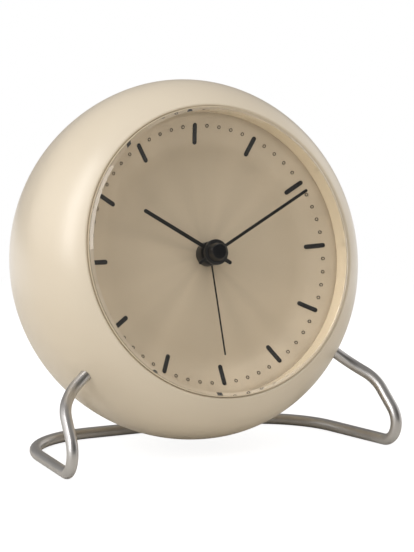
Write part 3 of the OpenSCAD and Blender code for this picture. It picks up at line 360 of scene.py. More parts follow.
def dialMaterial():
    # Pale gold lacquer over fine lines that run from the centre to the rim; broad wedges of lighter and
    # darker colour round the centre are painted sheen of the sunray finish, partly also the lacquer's
    # uneven tone
    d = dialFinish
    mat, tree, shader = newMaterial("dialBrushed", Metallic=d["metallic"], Anisotropic=d["anisotropy"],
                                    Coat_Weight=0.15, Coat_Roughness=0.12)
    where = objectPlace(tree, (1, 1, 0), leaning=True)
    far = mathNode(tree, "MULTIPLY", vectorNode(tree, "LENGTH", where)["Value"], d["drift"])
    along = addNode(tree, "ShaderNodeCombineXYZ", {"Z": far})
    ray = vectorNode(tree, "ADD", vectorNode(tree, "NORMALIZE", where)[0], along)[0]
    lines = noise(tree, ray, d["lines"], 5.0)
    # painted sheen: wedges of lighter and darker colour round the centre stand in for the sunray finish's
    # reflections, together with uneven tone
    sheenWedges = ramp(tree, noise(tree, ray, d["sheenWedges"], 1.0), 0.35, 0.65)
    sheenTone = mixColour(tree, sheenWedges, d["dark"], d["light"])
    fine = mixColour(tree, ramp(tree, lines, 0.3, 0.7), (0.975, 0.975, 0.975), (1, 1, 1))
    dress(tree, shader, Base_Color=mixColour(tree, 1.0, sheenTone, fine, "MULTIPLY"),
          Tangent=alongUv(tree, "turned"),
          Roughness=ramp(tree, lines, 0.2, 0.8, d["rough"] - 0.05, d["rough"] + 0.05))
    addBump(tree, shader, lines, 0.03)
    return mat


def glassMaterial():
    # Clear glass; lamps and fill light pass straight through to the dial
    mat, tree, shader = newMaterial("clearGlass", Roughness=0.0, IOR=1.46, Transmission_Weight=1.0)
    cloud = ramp(tree, noise(tree, objectPlace(tree), 18, 1.0), 0.3, 0.7)
    dress(tree, shader, Base_Color=mixColour(tree, cloud, (0.985, 0.99, 0.985), (0.995, 1.0, 0.998)))
    through = raySeen(tree, "Is Shadow Ray", "Is Diffuse Ray")
    whole = mixShader(tree, through, shader, addNode(tree, "ShaderNodeBsdfTransparent"))
    feed(tree, tree.nodes["Material Output"].inputs[0], whole)
    return mat


def wireMaterial():
    # Drawn stainless wire: fine lines along its length, on the sweep's own UV map
    w = wireFinish
    mat, tree, shader = newMaterial("drawnWire", Metallic=1.0, Anisotropic=w["anisotropy"])
    uv = addNode(tree, "ShaderNodeUVMap", uv_map="swept")
    lines = noise(tree, addNode(tree, "ShaderNodeMapping", {"Vector": uv, "Scale": w["lines"]}), 3.0, 5.0)
    blotch = ramp(tree, noise(tree, objectPlace(tree), 160, 2.0), 0.35, 0.65)
    worn = mixColour(tree, blotch, (0.98, 0.98, 0.98), (1, 1, 1))
    colour = mixColour(tree, 1.0, varied(tree, lines, w["colour"], 0.03), worn, "MULTIPLY")
    dress(tree, shader, Base_Color=colour, Tangent=alongUv(tree, "swept"),
          Roughness=ramp(tree, lines, 0.2, 0.8, w["rough"] - 0.02, w["rough"] + 0.02))
    addBump(tree, shader, lines, 0.015)
    return mat


def windingMaterial():
    # Turns of enamelled wire round the coil, which lies along the case's y; the copper is darker in the
    # grooves between turns and lighter on their crowns: painted shade and painted sheen
    mat, tree, shader = newMaterial("copperWinding", Metallic=1.0, Roughness=0.32)
    turns = {"Vector": objectPlace(tree, leaning=True), "Scale": 900, "Distortion": 0.4}
    wave = addNode(tree, "ShaderNodeTexWave", turns, wave_type="BANDS", bands_direction="Y").outputs["Fac"]
    # painted shade in the grooves between turns and painted sheen on their crowns, following the bump
    dress(tree, shader, Base_Color=mixColour(tree, wave, (0.30, 0.11, 0.045), (0.62, 0.27, 0.12)))
    addBump(tree, shader, wave, 0.5, 0.2)
    return mat


def cellMaterial():
    # Dark sleeves with a copper-coloured band at the cap end, and bare metal at both ends
    c = cellFinish
    mat, tree, shader = newMaterial("cellSleeve", Coat_Weight=0.3, Coat_Roughness=0.15)
    split = addNode(tree, "ShaderNodeSeparateXYZ", {0: objectPlace(tree, leaning=True)}).outputs
    lower = mathNode(tree, "LESS_THAN", split["Y"], c["split"] * mm)
    flip = mathNode(tree, "SUBTRACT", 1.0, mathNode(tree, "MULTIPLY", lower, 2.0))
    along = mathNode(tree, "MULTIPLY", split["X"], flip)
    band = mathNode(tree, "GREATER_THAN", along, c["band"] * mm)
    ends = mathNode(tree, "GREATER_THAN", mathNode(tree, "ABSOLUTE", along), c["ends"] * mm)
    speck = noise(tree, objectPlace(tree), 700)
    sleeve = mixColour(tree, band, mixColour(tree, speck, c["dark"], c["light"]), c["copper"])
    dress(tree, shader, Base_Color=mixColour(tree, ends, sleeve, c["bare"]), Metallic=ends,
          Roughness=ramp(tree, speck, 0.2, 0.8, 0.24, 0.36))
    return mat


def boardMaterial():
    # Green lacquered board with faint copper tracks under the lacquer
    mat, tree, shader = newMaterial("boardGreen", Roughness=0.3, Coat_Weight=0.4, Coat_Roughness=0.1)
    grid = {"Vector": objectPlace(tree, (1, 1, 0.2), leaning=True), "Scale": 420, "Randomness": 0.55}
    cell = addNode(tree, "ShaderNodeTexVoronoi", grid, feature="DISTANCE_TO_EDGE", distance="CHEBYCHEV")
    track = ramp(tree, cell.outputs["Distance"], 0.10, 0.16, 1.0, 0.0)
    dress(tree, shader, Base_Color=mixColour(tree, track, (0.018, 0.095, 0.042), (0.045, 0.190, 0.080)))
    addBump(tree, shader, track, 0.2)
    return mat


finishes = dict(
    case_plastic=mouldedPlastic("caseSatin", **casePaint),
    control_plastic=mouldedPlastic("controlSatin", **controlPaint),
    clear_glass=glassMaterial(),
    gasket_rubber=mouldedPlastic("gasketRubber", **gasketFinish),
    surround_plastic=mouldedPlastic("surroundGloss", **surroundFinish),
    dial_metal=dialMaterial(),
    mark_black=mouldedPlastic("printedBlack", (0.018, 0.017, 0.016), 0.38, spread=0.2, grain=5200),
    mark_brown=mouldedPlastic("printedBrown", (0.060, 0.044, 0.030), 0.42, spread=0.15, grain=5200),
    hand_black=mouldedPlastic("handBlack", (0.009, 0.0085, 0.008), 0.34, spread=0.2, grain=4200),
    cap_black=mouldedPlastic("capBlack", (0.007, 0.007, 0.008), 0.10, spread=0.2, grainDepth=0.002),
    wire_steel=wireMaterial(),
    screw_steel=metal("zincScrew", (0.55, 0.55, 0.54), 0.3, brushScale=1600),
    spring_steel=metal("springStrip", (0.62, 0.62, 0.60), 0.25, (1, 14, 1), 500, leaning=True),
    core_iron=metal("coreIron", (0.34, 0.34, 0.35), 0.42, (1, 16, 1), 420, leaning=True),
    carrier_plastic=mouldedPlastic("carrierWhite", (0.70, 0.67, 0.60), 0.5),
    movement_plastic=mouldedPlastic("movementWhite", (0.66, 0.63, 0.56), 0.46),
    gear_plastic=mouldedPlastic("gearNatural", (0.78, 0.745, 0.62), 0.36, Subsurface_Weight=0.06),
    gear_brass=metal("gearBrass", (0.58, 0.39, 0.13), 0.26, brushScale=1300),
    magnet_dark=metal("rotorMagnet", (0.10, 0.10, 0.105), 0.55, brushScale=3200, depth=0.2),
    bobbin_plastic=mouldedPlastic("bobbinGreen", (0.040, 0.062, 0.042), 0.44, spread=0.06),
    copper_wire=windingMaterial(),
    board_green=boardMaterial(),
    can_metal=metal("quartzCan", (0.72, 0.72, 0.71), 0.16, brushScale=2400, depth=0.02),
    black_plastic=mouldedPlastic("blackMoulded", (0.020, 0.020, 0.022), 0.46, spread=0.12),
    slider_plastic=mouldedPlastic("sliderDark", (0.040, 0.036, 0.031), 0.44, spread=0.08),
    cell_sleeve=cellMaterial(),
)
for mat in finishes.values():
    arrange(mat.node_tree)
for obj in frame["nodes"].values():  # solids that stay in sight take their own slot's finish
    for place in obj.material_slots:
        place.material = finishes[place.material.name]
print("finishes are mixed:", len(finishes))


def meshFrom(name, shape, matrix=caseMatrix):
    # A bmesh in millimetres of the case's own directions becomes a mesh in the row frame
    bmesh.ops.transform(shape, matrix=matrix @ Matrix.Scale(mm, 4), verts=shape.verts)
    bmesh.ops.recalc_face_normals(shape, faces=shape.faces)
    mesh = bpy.data.meshes.new(name)
    shape.to_mesh(mesh)
    shape.free()
    return mesh


def finishedPiece(name, mesh, finish, body, node, sharp=32):
    if isinstance(mesh, bmesh.types.BMesh):
        mesh = meshFrom(name, mesh)
    mesh.materials.clear()
    mesh.materials.append(finishes[finish])
    mesh.shade_smooth()
    mesh.set_sharp_from_angle(angle=radians(sharp))
    obj = addObject(name, mesh)
    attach(obj, body)
    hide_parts(node)


def arc(centre, radius, fromAngle, toAngle, steps):
    turns = [radians(fromAngle + (toAngle - fromAngle) * i / steps) for i in range(steps + 1)]
    return [(centre[0] + radius * cos(a), centre[1] + radius * sin(a)) for a in turns]


def around(radii, at=(0, 0)):
    # Points all the way round, one for each radius
    turns = [2 * pi * k / len(radii) for k in range(len(radii))]
    return [(at[0] + r * sin(a), at[1] + r * cos(a)) for r, a in zip(radii, turns)]


def ringOf(shape, points, w):
    return [shape.verts.new((x, y, w)) for x, y in points]


def band(shape, low, high):
    # Four-sided faces between two rings
    for k in range(len(low)):
        j = (k + 1) % len(low)
        shape.faces.new((low[k], low[j], high[j], high[k]))


def lathe(shape, profile, sides=256, at=(0, 0), closed=True):
    # Turns a profile of (radius, w) round an axis through at; u goes round and v along the profile
    uv = shape.loops.layers.uv.get("turned") or shape.loops.layers.uv.new("turned")
    rings = [ringOf(shape, around([radius] * sides, at), w) if radius
             else [shape.verts.new((*at, w))] * sides for radius, w in profile]
    lengths = [0.0]
    for p, q in zip(profile, profile[1:] + profile[:1]):
        lengths.append(lengths[-1] + dist(p, q) * mm)
    for i in range(len(profile) if closed else len(profile) - 1):
        low, high = rings[i], rings[(i + 1) % len(profile)]
        for k in range(sides):
            corners = {}  # a corner on the axis is met twice, and kept once
            for ring, column, row in ((low, k, i), (low, k + 1, i), (high, k + 1, i + 1), (high, k, i + 1)):
                corners.setdefault(ring[column % sides], (column / sides, lengths[row]))
            if len(corners) < 3:
                continue
            face = shape.faces.new(list(corners))
            for loop, place in zip(face.loops, corners.values()):
                loop[uv].uv = place


def stadium(reach, tail, width, steps=10):
    # Outline of a bar with round ends along y
    r = width / 2
    return arc((0, reach - r), r, 0, 180, steps) + arc((0, -tail + r), r, 180, 360, steps)


def rounded(high, edge):
    # Inset and height of each step over a rounded upper edge
    return [(0, high - edge), (0.3 * edge, high - 0.3 * edge), (edge, high)]


def slab(shape, outline, low, high, edge, turn=0.0):
    # A flat piece with its upper edge rounded; outline is a function of the inset
    turned = Matrix.Rotation(-radians(turn), 2)
    rings = [ringOf(shape, [turned @ Vector(p) for p in outline(inset)], w)
             for inset, w in [(0, low)] + rounded(high, edge)]
    for lower, upper in zip(rings, rings[1:]):
        band(shape, lower, upper)
    shape.faces.new(rings[0][::-1])
    shape.faces.new(rings[-1])


def tube(shape, start, end, radius, sides=48):
    # A plain closed cylinder between two points
    start, end = Vector(start), Vector(end)
    turn = (end - start).to_track_quat("Z", "Y").to_matrix().to_4x4()
    bmesh.ops.create_cone(shape, cap_ends=True, segments=sides, radius1=radius, radius2=radius,
                          depth=(end - start).length, matrix=Matrix.Translation((start + end) / 2) @ turn)


def post(shape, x, y, start, end, radius, sides=48):
    tube(shape, (x, y, start), (x, y, end), radius, sides)


def boxShape(shape, x, y, w):
    # A plain block between two limits in each direction
    size = [hi - lo for lo, hi in (x, y, w)]
    middle = Vector([(hi + lo) / 2 for lo, hi in (x, y, w)])
    bmesh.ops.create_cube(shape, size=1, matrix=Matrix.Translation(middle) @ Matrix.Diagonal((*size, 1)))


def settled(obj):
    # The object's mesh with its modifiers applied
    return bpy.data.meshes.new_from_object(obj.evaluated_get(bpy.context.evaluated_depsgraph_get()))


def withBoolean(mesh, tool, operation="DIFFERENCE", matrix=caseMatrix):
    # The mesh with a shape cut out of it or joined to it
    holder, other = addObject("holder", mesh), addObject("tool", meshFrom("tool", tool, matrix))
    change = holder.modifiers.new("change", "BOOLEAN")
    change.operation = operation
    change.solver = "EXACT"
    change.object = other
    changed = settled(holder)
    for obj in (holder, other):
        bpy.data.objects.remove(obj)
    shape = bmesh.new()
    shape.from_mesh(changed)
    bmesh.ops.remove_doubles(shape, verts=shape.verts, dist=0.001 * mm)
    bmesh.ops.dissolve_degenerate(shape, edges=shape.edges, dist=0.001 * mm)
    shape.to_mesh(changed)
    shape.free()
    return changed


caseShape = dict(ball=55.0, lip=43.9, lipEdge=0.6, roll=25.2261, wall=2.5, seam=-27.0, seamChamfer=0.22,
                 skirtIn=44.96, skirtOut=46.96, skirtLow=-4.4, shoulder=4.1, socketAngle=127.5,
                 socketAhead=7.0, socketRadius=1.83, socketFloor=47.56, socketCut=58.0,
                 bossRadius=3.8, bossFrom=45.6, bossTo=52.0)
caseInner = caseShape["ball"] - caseShape["wall"]
seamAngle = degrees(asin(caseShape["seam"] / caseShape["ball"]))
seamEdge = degrees(caseShape["seamChamfer"] / caseShape["ball"])
seamFoot = (caseShape["ball"] * cos(radians(seamAngle)) - caseShape["seamChamfer"],
            caseMiddle + caseShape["seam"])


def caseSection():
    # Ball behind, rolled front, rounded lip, bore for the glass and the dial, thin wall inside
    c, mid = caseShape, caseMiddle
    rollAt = c["ball"] - c["roll"]
    edgeX = c["lip"] + c["lipEdge"]
    edgeUp = sqrt((c["roll"] - c["lipEdge"]) ** 2 - (edgeX - rollAt) ** 2)
    lipAngle = degrees(atan2(edgeUp, edgeX - rollAt))
    seamIn = degrees(asin(c["seam"] / caseInner))
    innerRoll = c["roll"] - c["wall"]
    skirtTurn = degrees(acos((c["skirtOut"] - rollAt) / innerRoll))
    outer = arc((0, mid), c["ball"], seamAngle + seamEdge, 0, 26)[:-1]
    outer += arc((rollAt, mid), c["roll"], 0, lipAngle, 44)
    outer += arc((edgeX, mid + edgeUp), c["lipEdge"], lipAngle, 180, 10)[1:]
    bore = [(c["lip"], c["shoulder"]), (c["skirtIn"], c["shoulder"]), (c["skirtIn"], c["skirtLow"]),
            (c["skirtOut"], c["skirtLow"])]
    inside = arc((rollAt, mid), innerRoll, skirtTurn, 0, 14)[:-1] + arc((0, mid), caseInner, 0, seamIn, 16)
    return outer + bore + inside + [seamFoot]


def socketLine(side, near, far):
    a = radians(caseShape["socketAngle"])
    way = Vector((side * sin(a), cos(a), 0))
    level = Vector((0, 0, caseMiddle + caseShape["socketAhead"]))
    return level + way * near, level + way * far


def buildCase():
    c = caseShape
    shape, bosses, holes = bmesh.new(), bmesh.new(), bmesh.new()
    lathe(shape, caseSection())
    for side in (-1, 1):
        tube(bosses, *socketLine(side, c["bossFrom"], c["bossTo"]), c["bossRadius"])
        tube(holes, *socketLine(side, c["socketFloor"], c["socketCut"]), c["socketRadius"])
    mesh = withBoolean(meshFrom("caseFront", shape), bosses, "UNION")
    finishedPiece("caseFront", withBoolean(mesh, holes), "case_plastic", "case", "case_shell")


buildCase()
print("case is turned")

glass = dict(radius=43.5, low=7.4, high=9.4, bevel=0.8, edge=0.06)
gasket = dict(inner=43.51, outer=43.89, low=7.4, high=8.42, crown=0.03)
surround = dict(foot=42.97, top=43.06, outer=43.86, flange=44.76, low=1.2517, flangeHigh=3.9, high=7.4,
                edge=0.1, seam=0.36, seamDeep=0.8)
dial = dict(radius=44.76, thick=0.5, hole=3.48, holeEdge=0.08, sink=1.9, roll=20.0, slope=17.5, ring=39.0,
            edge=42.97, flatRings=[8, 13, 18, 23, 27], rollSteps=14, slopeRings=[37.5, 39, 41])
dialSlope = radians(dial["slope"])
dialRollEnd = dial["ring"] - (dial["sink"] - dial["roll"] * (1 - cos(dialSlope))) / tan(dialSlope)
dialFlat = dialRollEnd - dial["roll"] * sin(dialSlope)


def dialHeight(radius):
    # The dial's middle is flat; a curve raises it to a plain slope near its edge
    if radius > dialRollEnd:
        return (min(radius, dial["edge"]) - dial["ring"]) * tan(dialSlope)
    if radius > dialFlat:
        return dial["roll"] - sqrt(dial["roll"] ** 2 - (radius - dialFlat) ** 2) - dial["sink"]
    return -dial["sink"]


def turnedPiece(name, profile, finish, node, sides=256, closed=True, sharp=32):
    shape = bmesh.new()
    lathe(shape, profile, sides, closed=closed)
    finishedPiece(name, shape, finish, "case", node, sharp)


def buildFront():
    g, k, s, d = glass, gasket, surround, dial
    turnedPiece("glassDisc", [
        (0, g["low"]), (g["radius"] - g["edge"], g["low"]), (g["radius"], g["low"] + g["edge"]),
        (g["radius"], g["high"] - g["bevel"]), (g["radius"] - g["bevel"], g["high"]), (0, g["high"])],
        "clear_glass", "crystal", closed=False, sharp=20)
    shoulder = k["high"] - k["crown"]
    turnedPiece("glassGasket", [
        (k["inner"], k["low"]), (k["outer"], k["low"]), (k["outer"], shoulder),
        ((k["inner"] + k["outer"]) / 2, k["high"]), (k["inner"], shoulder)],
        "gasket_rubber", "crystal_gasket", sides=192, sharp=60)
    seam = s["low"] + s["seam"]
    turnedPiece("dialSurround", [
        (s["foot"] + s["seamDeep"], seam), (s["foot"] + s["seamDeep"], s["low"]), (s["flange"], s["low"]),
        (s["flange"], s["flangeHigh"]), (s["outer"], s["flangeHigh"]), (s["outer"], s["high"]),
        (s["top"] + s["edge"], s["high"]), (s["top"], s["high"] - s["edge"]),
        (s["foot"], seam + s["edge"]), (s["foot"] + s["edge"], seam)], "surround_plastic", "dial_surround")
    rollStep = (dialRollEnd - dialFlat) / d["rollSteps"]
    rings = [d["hole"] + d["holeEdge"]] + d["flatRings"]
    under = len(rings) - 1
    rings += [dialFlat + rollStep * i for i in range(d["rollSteps"] + 1)] + d["slopeRings"]
    rings += [d["edge"], d["radius"]]
    upper = [(r, dialHeight(r)) for r in rings]
    lower = [(r, w - d["thick"]) for r, w in upper[:under - 1:-1]]
    hole = [(d["hole"], dialHeight(0) - d["thick"]), (d["hole"], dialHeight(0) - d["holeEdge"])]
    turnedPiece("dialPlate", hole + upper + lower, "dial_metal", "dial")


buildFront()
print("glass, gasket, surround and dial are in")


def nodeGroup(name, **inputs):
    tree = bpy.data.node_groups.new(name, "GeometryNodeTree")
    for label, kind in dict(Geometry="Geometry", Piece="Object", Material="Material", **inputs).items():
        tree.interface.new_socket(label, in_out="INPUT", socket_type="NodeSocket" + kind)
    tree.interface.new_socket("Geometry", in_out="OUTPUT", socket_type="NodeSocketGeometry")
    return tree, addNode(tree, "NodeGroupInput").outputs


def copyPiece(tree, given, points, rotation, chosen=True):
    # Sets the piece on the points, makes the copies real and gives them their finish
    piece = addNode(tree, "GeometryNodeObjectInfo", {"Object": given["Piece"]}).outputs["Geometry"]
    copies = addNode(tree, "GeometryNodeInstanceOnPoints", {
        "Points": points, "Selection": chosen, "Instance": piece, "Rotation": rotation})
    real = addNode(tree, "GeometryNodeRealizeInstances", {0: copies})
    paint = addNode(tree, "GeometryNodeSetMaterial", {"Geometry": real, "Material": given["Material"]})
    addNode(tree, "NodeGroupOutput", {0: paint})
    arrange(tree)
    return tree


def ringTree():
    # Copies of one mark on a ring, each turned so that its y points outwards
    tree, given = nodeGroup("marksOnRing", Places="Int", Radius="Float", Skip="Int")
    ring = addNode(tree, "GeometryNodeMeshCircle", {"Vertices": given["Places"], "Radius": given["Radius"]})
    rest = mathNode(tree, "MODULO", addNode(tree, "GeometryNodeInputIndex"), given["Skip"])
    skipsNone = mathNode(tree, "LESS_THAN", given["Skip"], 1.5)
    chosen = mathNode(tree, "MAXIMUM", mathNode(tree, "GREATER_THAN", rest, 0.5), skipsNone)
    outwards = {"Vector": addNode(tree, "GeometryNodeInputPosition")}
    turn = addNode(tree, "FunctionNodeAlignRotationToVector", outwards, axis="Y", pivot_axis="Z")
    return copyPiece(tree, given, ring, turn, chosen)


def spotsTree():
    # Copies of one piece on the base mesh's points, each turned by its own seeded angle
    tree, given = nodeGroup("piecesOnSpots", Turn="Float", Seed="Int")
    chance = {3: given["Turn"], "Seed": given["Seed"]}
    angle = addNode(tree, "FunctionNodeRandomValue", chance, data_type="FLOAT").outputs[1]
    about = addNode(tree, "ShaderNodeCombineXYZ", {"Z": angle})
    return copyPiece(tree, given, given["Geometry"], about)


def grown(name, tree, single, points=(), lift=None, **values):
    # Runs a tree on the given points and returns its result as a plain mesh in the row frame
    base = bpy.data.meshes.new(name + "Points")
    base.from_pydata([Vector(p) * mm for p in points], [], [])
    piece, holder = addObject(name + "Single", single), addObject(name + "Holder", base)
    change = holder.modifiers.new("grow", "NODES")
    change.node_group = tree
    sockets = {s.name: s.identifier for s in tree.interface.items_tree if s.in_out == "INPUT"}
    for label, value in dict(values, Piece=piece).items():
        change[sockets[label]] = value
    mesh = settled(holder)
    if lift:
        for v in mesh.vertices:
            v.co.z += lift(v.co.xy.length / mm) * mm
    mesh.transform(caseMatrix)
    for obj in (piece, holder):
        bpy.data.objects.remove(obj)
    return mesh


marks = dict(hourLength=6.4, hourWidth=1.4, hourOut=39.9, hourEdge=0.04, hourCut=0.75, ring=39.0,
             ringMark=1.05, ringLine=0.19, thick=0.1, gap=0.04)


def buildMarks():
    m = marks
    half, outer = m["hourLength"] / 2, m["ringMark"] / 2
    bar, ring = bmesh.new(), bmesh.new()
    slab(bar, lambda inset: stadium(half - inset, half - inset, m["hourWidth"] - 2 * inset), 0, m["thick"],
         m["hourEdge"])
    for i in range(-3, 4):  # cross cuts let the bar follow the dial's curve
        bmesh.ops.bisect_plane(bar, geom=bar.verts[:] + bar.edges[:] + bar.faces[:],
                               plane_co=(0, i * m["hourCut"], 0), plane_no=(0, 1, 0))
    inner = outer - m["ringLine"]
    lathe(ring, [(outer, 0), (outer, m["thick"]), (inner, m["thick"]), (inner, 0)], sides=28)
    tree = ringTree()
    for name, shape, places, radius, skip, finish, node in (
            ("hourMarks", bar, 12, m["hourOut"] - half, 1, "mark_black", "hour_marks"),
            ("minuteMarks", ring, 60, m["ring"], 5, "mark_brown", "minute_marks")):
        mesh = grown(name, tree, meshFrom(name + "One", shape, Matrix.Identity(4)), Places=places,
                     Radius=radius * mm, Skip=skip, Material=finishes[finish],
                     lift=lambda r: dialHeight(r) + m["gap"])
        finishedPiece(name, mesh, finish, "case", node)


buildMarks()
print("marks are printed on the dial")

hourHand = dict(turn=303.4, reach=26.0, tail=6.6, width=1.2, low=2.9, high=3.2, hub=3.2, hubLow=2.3,
                hubHigh=3.5, bore=1.54)
minuteHand = dict(turn=63.4, reach=37.8, tail=6.7, width=0.95, low=4.0, high=4.3, hub=3.9, hubLow=4.0,
                  hubHigh=4.9, bore=0.94)
alarmHand = dict(turn=177.7, reach=30.9, tail=0.0, width=0.5, low=0.4, high=0.6, hub=3.7, hubLow=-1.7,
                 hubHigh=1.7, bore=2.24)
handEdges = dict(bar=0.07, hub=0.12)
handCap = dict(foot=3.1, face=2.3, low=4.9, high=6.9, edge=0.45, bore=0.94, boreDeep=0.84, edgeShare=0.6,
               dishShare=0.6, dishEdge=0.05, dish=0.12)


def buildHand(name, h, body, node):
    shape = bmesh.new()
    slab(shape, lambda inset: stadium(h["reach"] - inset, h["tail"] - inset if h["tail"] else 0,
                                      h["width"] - 2 * inset),
         h["low"], h["high"], handEdges["bar"], h["turn"])
    lathe(shape, [(h["bore"], h["hubLow"]), (h["hub"], h["hubLow"])]
          + [(h["hub"] - inset, w) for inset, w in rounded(h["hubHigh"], handEdges["hub"])]
          + [(h["bore"], h["hubHigh"])], sides=96)
    finishedPiece(name, shape, "hand_black", body, node)


def buildCap():
    c = handCap
    slope = degrees(atan2(c["high"] - c["low"], c["foot"] - c["face"]))
    corner = (c["face"] - c["edge"] * c["edgeShare"], c["high"] - c["edge"])
    roof = c["low"] + c["boreDeep"]
    shape = bmesh.new()
    lathe(shape, [(c["bore"], c["low"]), (c["foot"], c["low"])] + arc(corner, c["edge"], 90 - slope, 90, 6)
          + [(c["face"] * c["dishShare"], c["high"] - c["dishEdge"]), (0, c["high"] - c["dish"])],
          sides=96, closed=False)
    lathe(shape, [(c["bore"], c["low"]), (c["bore"], roof), (0, roof)], sides=96, closed=False)
    bmesh.ops.remove_doubles(shape, verts=shape.verts, dist=0.001)
    finishedPiece("handCap", shape, "cap_black", "minute_set", "hand_cap")


buildHand("hourHand", hourHand, "hour_set", "hour_hand")
buildHand("minuteHand", minuteHand, "minute_set", "minute_hand")
buildHand("alarmHand", alarmHand, "alarm_set", "alarm_hand")
buildCap()
print("hands are on")

wire = dict(radius=1.75, sides=40, bendSteps=16, tip=0.25, girth=0.011,
            corners=[(0, 26.18, 1.75), (46.805, 26.18, 1.75), (56.4025, -39.38, 1.75),
                     (53.185, -21.8075, 20.2418), (47.5637, -15.6215, 24.5807),
                     (37.7636, -13.8023, 31.8772)],
            bends=[29.0, 6.2, 14.0, 13.0])


def wirePath():
    # Centre line of the right half: straight runs joined by round bends, from the middle of the back
    corners = [Vector(c) for c in wire["corners"]]
    path = [corners[0]]
    for before, corner, after, radius in zip(corners, corners[1:], corners[2:], wire["bends"]):
        into = (corner - before).normalized()
        onward = (after - corner).normalized()
        turn = into.angle(onward)
        start = corner - into * radius * tan(turn / 2)
        middle = corner + (onward - into).normalized() * radius / cos(turn / 2)
        spoke = (start - middle).normalized()
        for i in range(wire["bendSteps"] + 1):
            a = turn * i / wire["bendSteps"]
            path.append(middle + radius * (cos(a) * spoke + sin(a) * into))
    path.append(corners[-1])
    return path


def buildWire():
    # A round section swept along both halves, with its tips slightly chamfered
    r, tip, sides = wire["radius"], wire["tip"], wire["sides"]
    half = wirePath()
    path = [Vector((-p.x, p.y, p.z)) for p in half[:0:-1]] + half
    steps = [(q - p).normalized() for p, q in zip(path, path[1:])]
    ways = [(a + b).normalized() for a, b in zip(steps[:1] + steps, steps + steps[-1:])]
    side = ways[0].cross(Vector((0, 0, 1))).normalized()
    stations = {0: [(0.0, r - tip), (tip, r)], len(path) - 1: [(-tip, r), (0.0, r - tip)]}
    shape = bmesh.new()
    uv = shape.loops.layers.uv.new("swept")
    rings = []
    length = 0.0
    for i, (p, way) in enumerate(zip(path, ways)):
        side = (side - way * side.dot(way)).normalized()
        up = way.cross(side)
        length += (p - path[i - 1]).length if i else 0.0
        for step, radius in stations.get(i, [(0.0, r)]):
            ring = [shape.verts.new(p + way * step + side * x + up * y)
                    for x, y in arc((0, 0), radius, 0, 360, sides)[:-1]]
            rings.append((ring, (length + step) * mm))
    for (low, lowAt), (high, highAt) in zip(rings, rings[1:]):
        for k in range(sides):
            j = (k + 1) % sides
            face = shape.faces.new((low[k], low[j], high[j], high[k]))
            for loop, (u, v) in zip(face.loops, ((lowAt, k), (lowAt, k + 1), (highAt, k + 1), (highAt, k))):
                loop[uv].uv = (u, v / sides * wire["girth"])
    shape.faces.new(rings[0][0][::-1])
    shape.faces.new(rings[-1][0])
    mesh = meshFrom("standWire", shape, Matrix.Translation((0, ballMiddle.y, 0)))
    finishedPiece("standWire", mesh, "wire_steel", "case", "stand_wire", sharp=40)


buildWire()
print("stand is bent")

back = dict(flat=-50.0, inside=-47.5, edge=1.2, spigotOut=44.98, spigotIn=43.78, spigotHigh=-37.3, tube=3.2,
            tubeTop=-30.04, tubeSunk=1.2, well=2.5, wellFloor=-46.0, shank=1.3, screwX=33.5, screwY=12.0,
            knobX=18.385, knobY=15.427, arborHole=1.7, slotY=12.9, slotX=3.9, slotHalf=1.6, soundY=28.5,
            soundHole=0.9, soundPitch=3.6, ringIn=9.8, ringOut=11.0, ringTop=-42.5, ringSunk=0.6, bayX=26.2,
            bayLow=-24.7, bayHigh=5.3, hingeY=-23.3, hingeW=-48.9, pinHole=0.8, pin=1.2, notch=6.0,
            notchFloor=-48.8, past=1)


def backSection():
    # Flat back with a rounded edge, the ball up to the seam, and a spigot that fits the front shell
    b, r, mid = back, caseShape["ball"], caseMiddle
    edgeDown = b["flat"] + b["edge"] - mid
    edgeX = sqrt((r - b["edge"]) ** 2 - edgeDown ** 2)
    edgeAngle = degrees(atan2(edgeDown, edgeX))
    insideAngle = degrees(asin((b["inside"] - mid) / caseInner))
    spigotAngle = -degrees(acos(b["spigotIn"] / caseInner))
    outer = [(0, b["flat"]), (edgeX * 0.5, b["flat"])]
    outer += arc((edgeX, mid + edgeDown), b["edge"], -90, edgeAngle, 8)
    outer += arc((0, mid), r, edgeAngle, seamAngle - seamEdge, 14)[1:]
    spigot = [seamFoot, (b["spigotOut"], seamFoot[1]), (b["spigotOut"], b["spigotHigh"]),
              (b["spigotIn"], b["spigotHigh"])]
    return outer + spigot + arc((0, mid), caseInner, spigotAngle, insideAngle, 12) + [(0, b["inside"])]


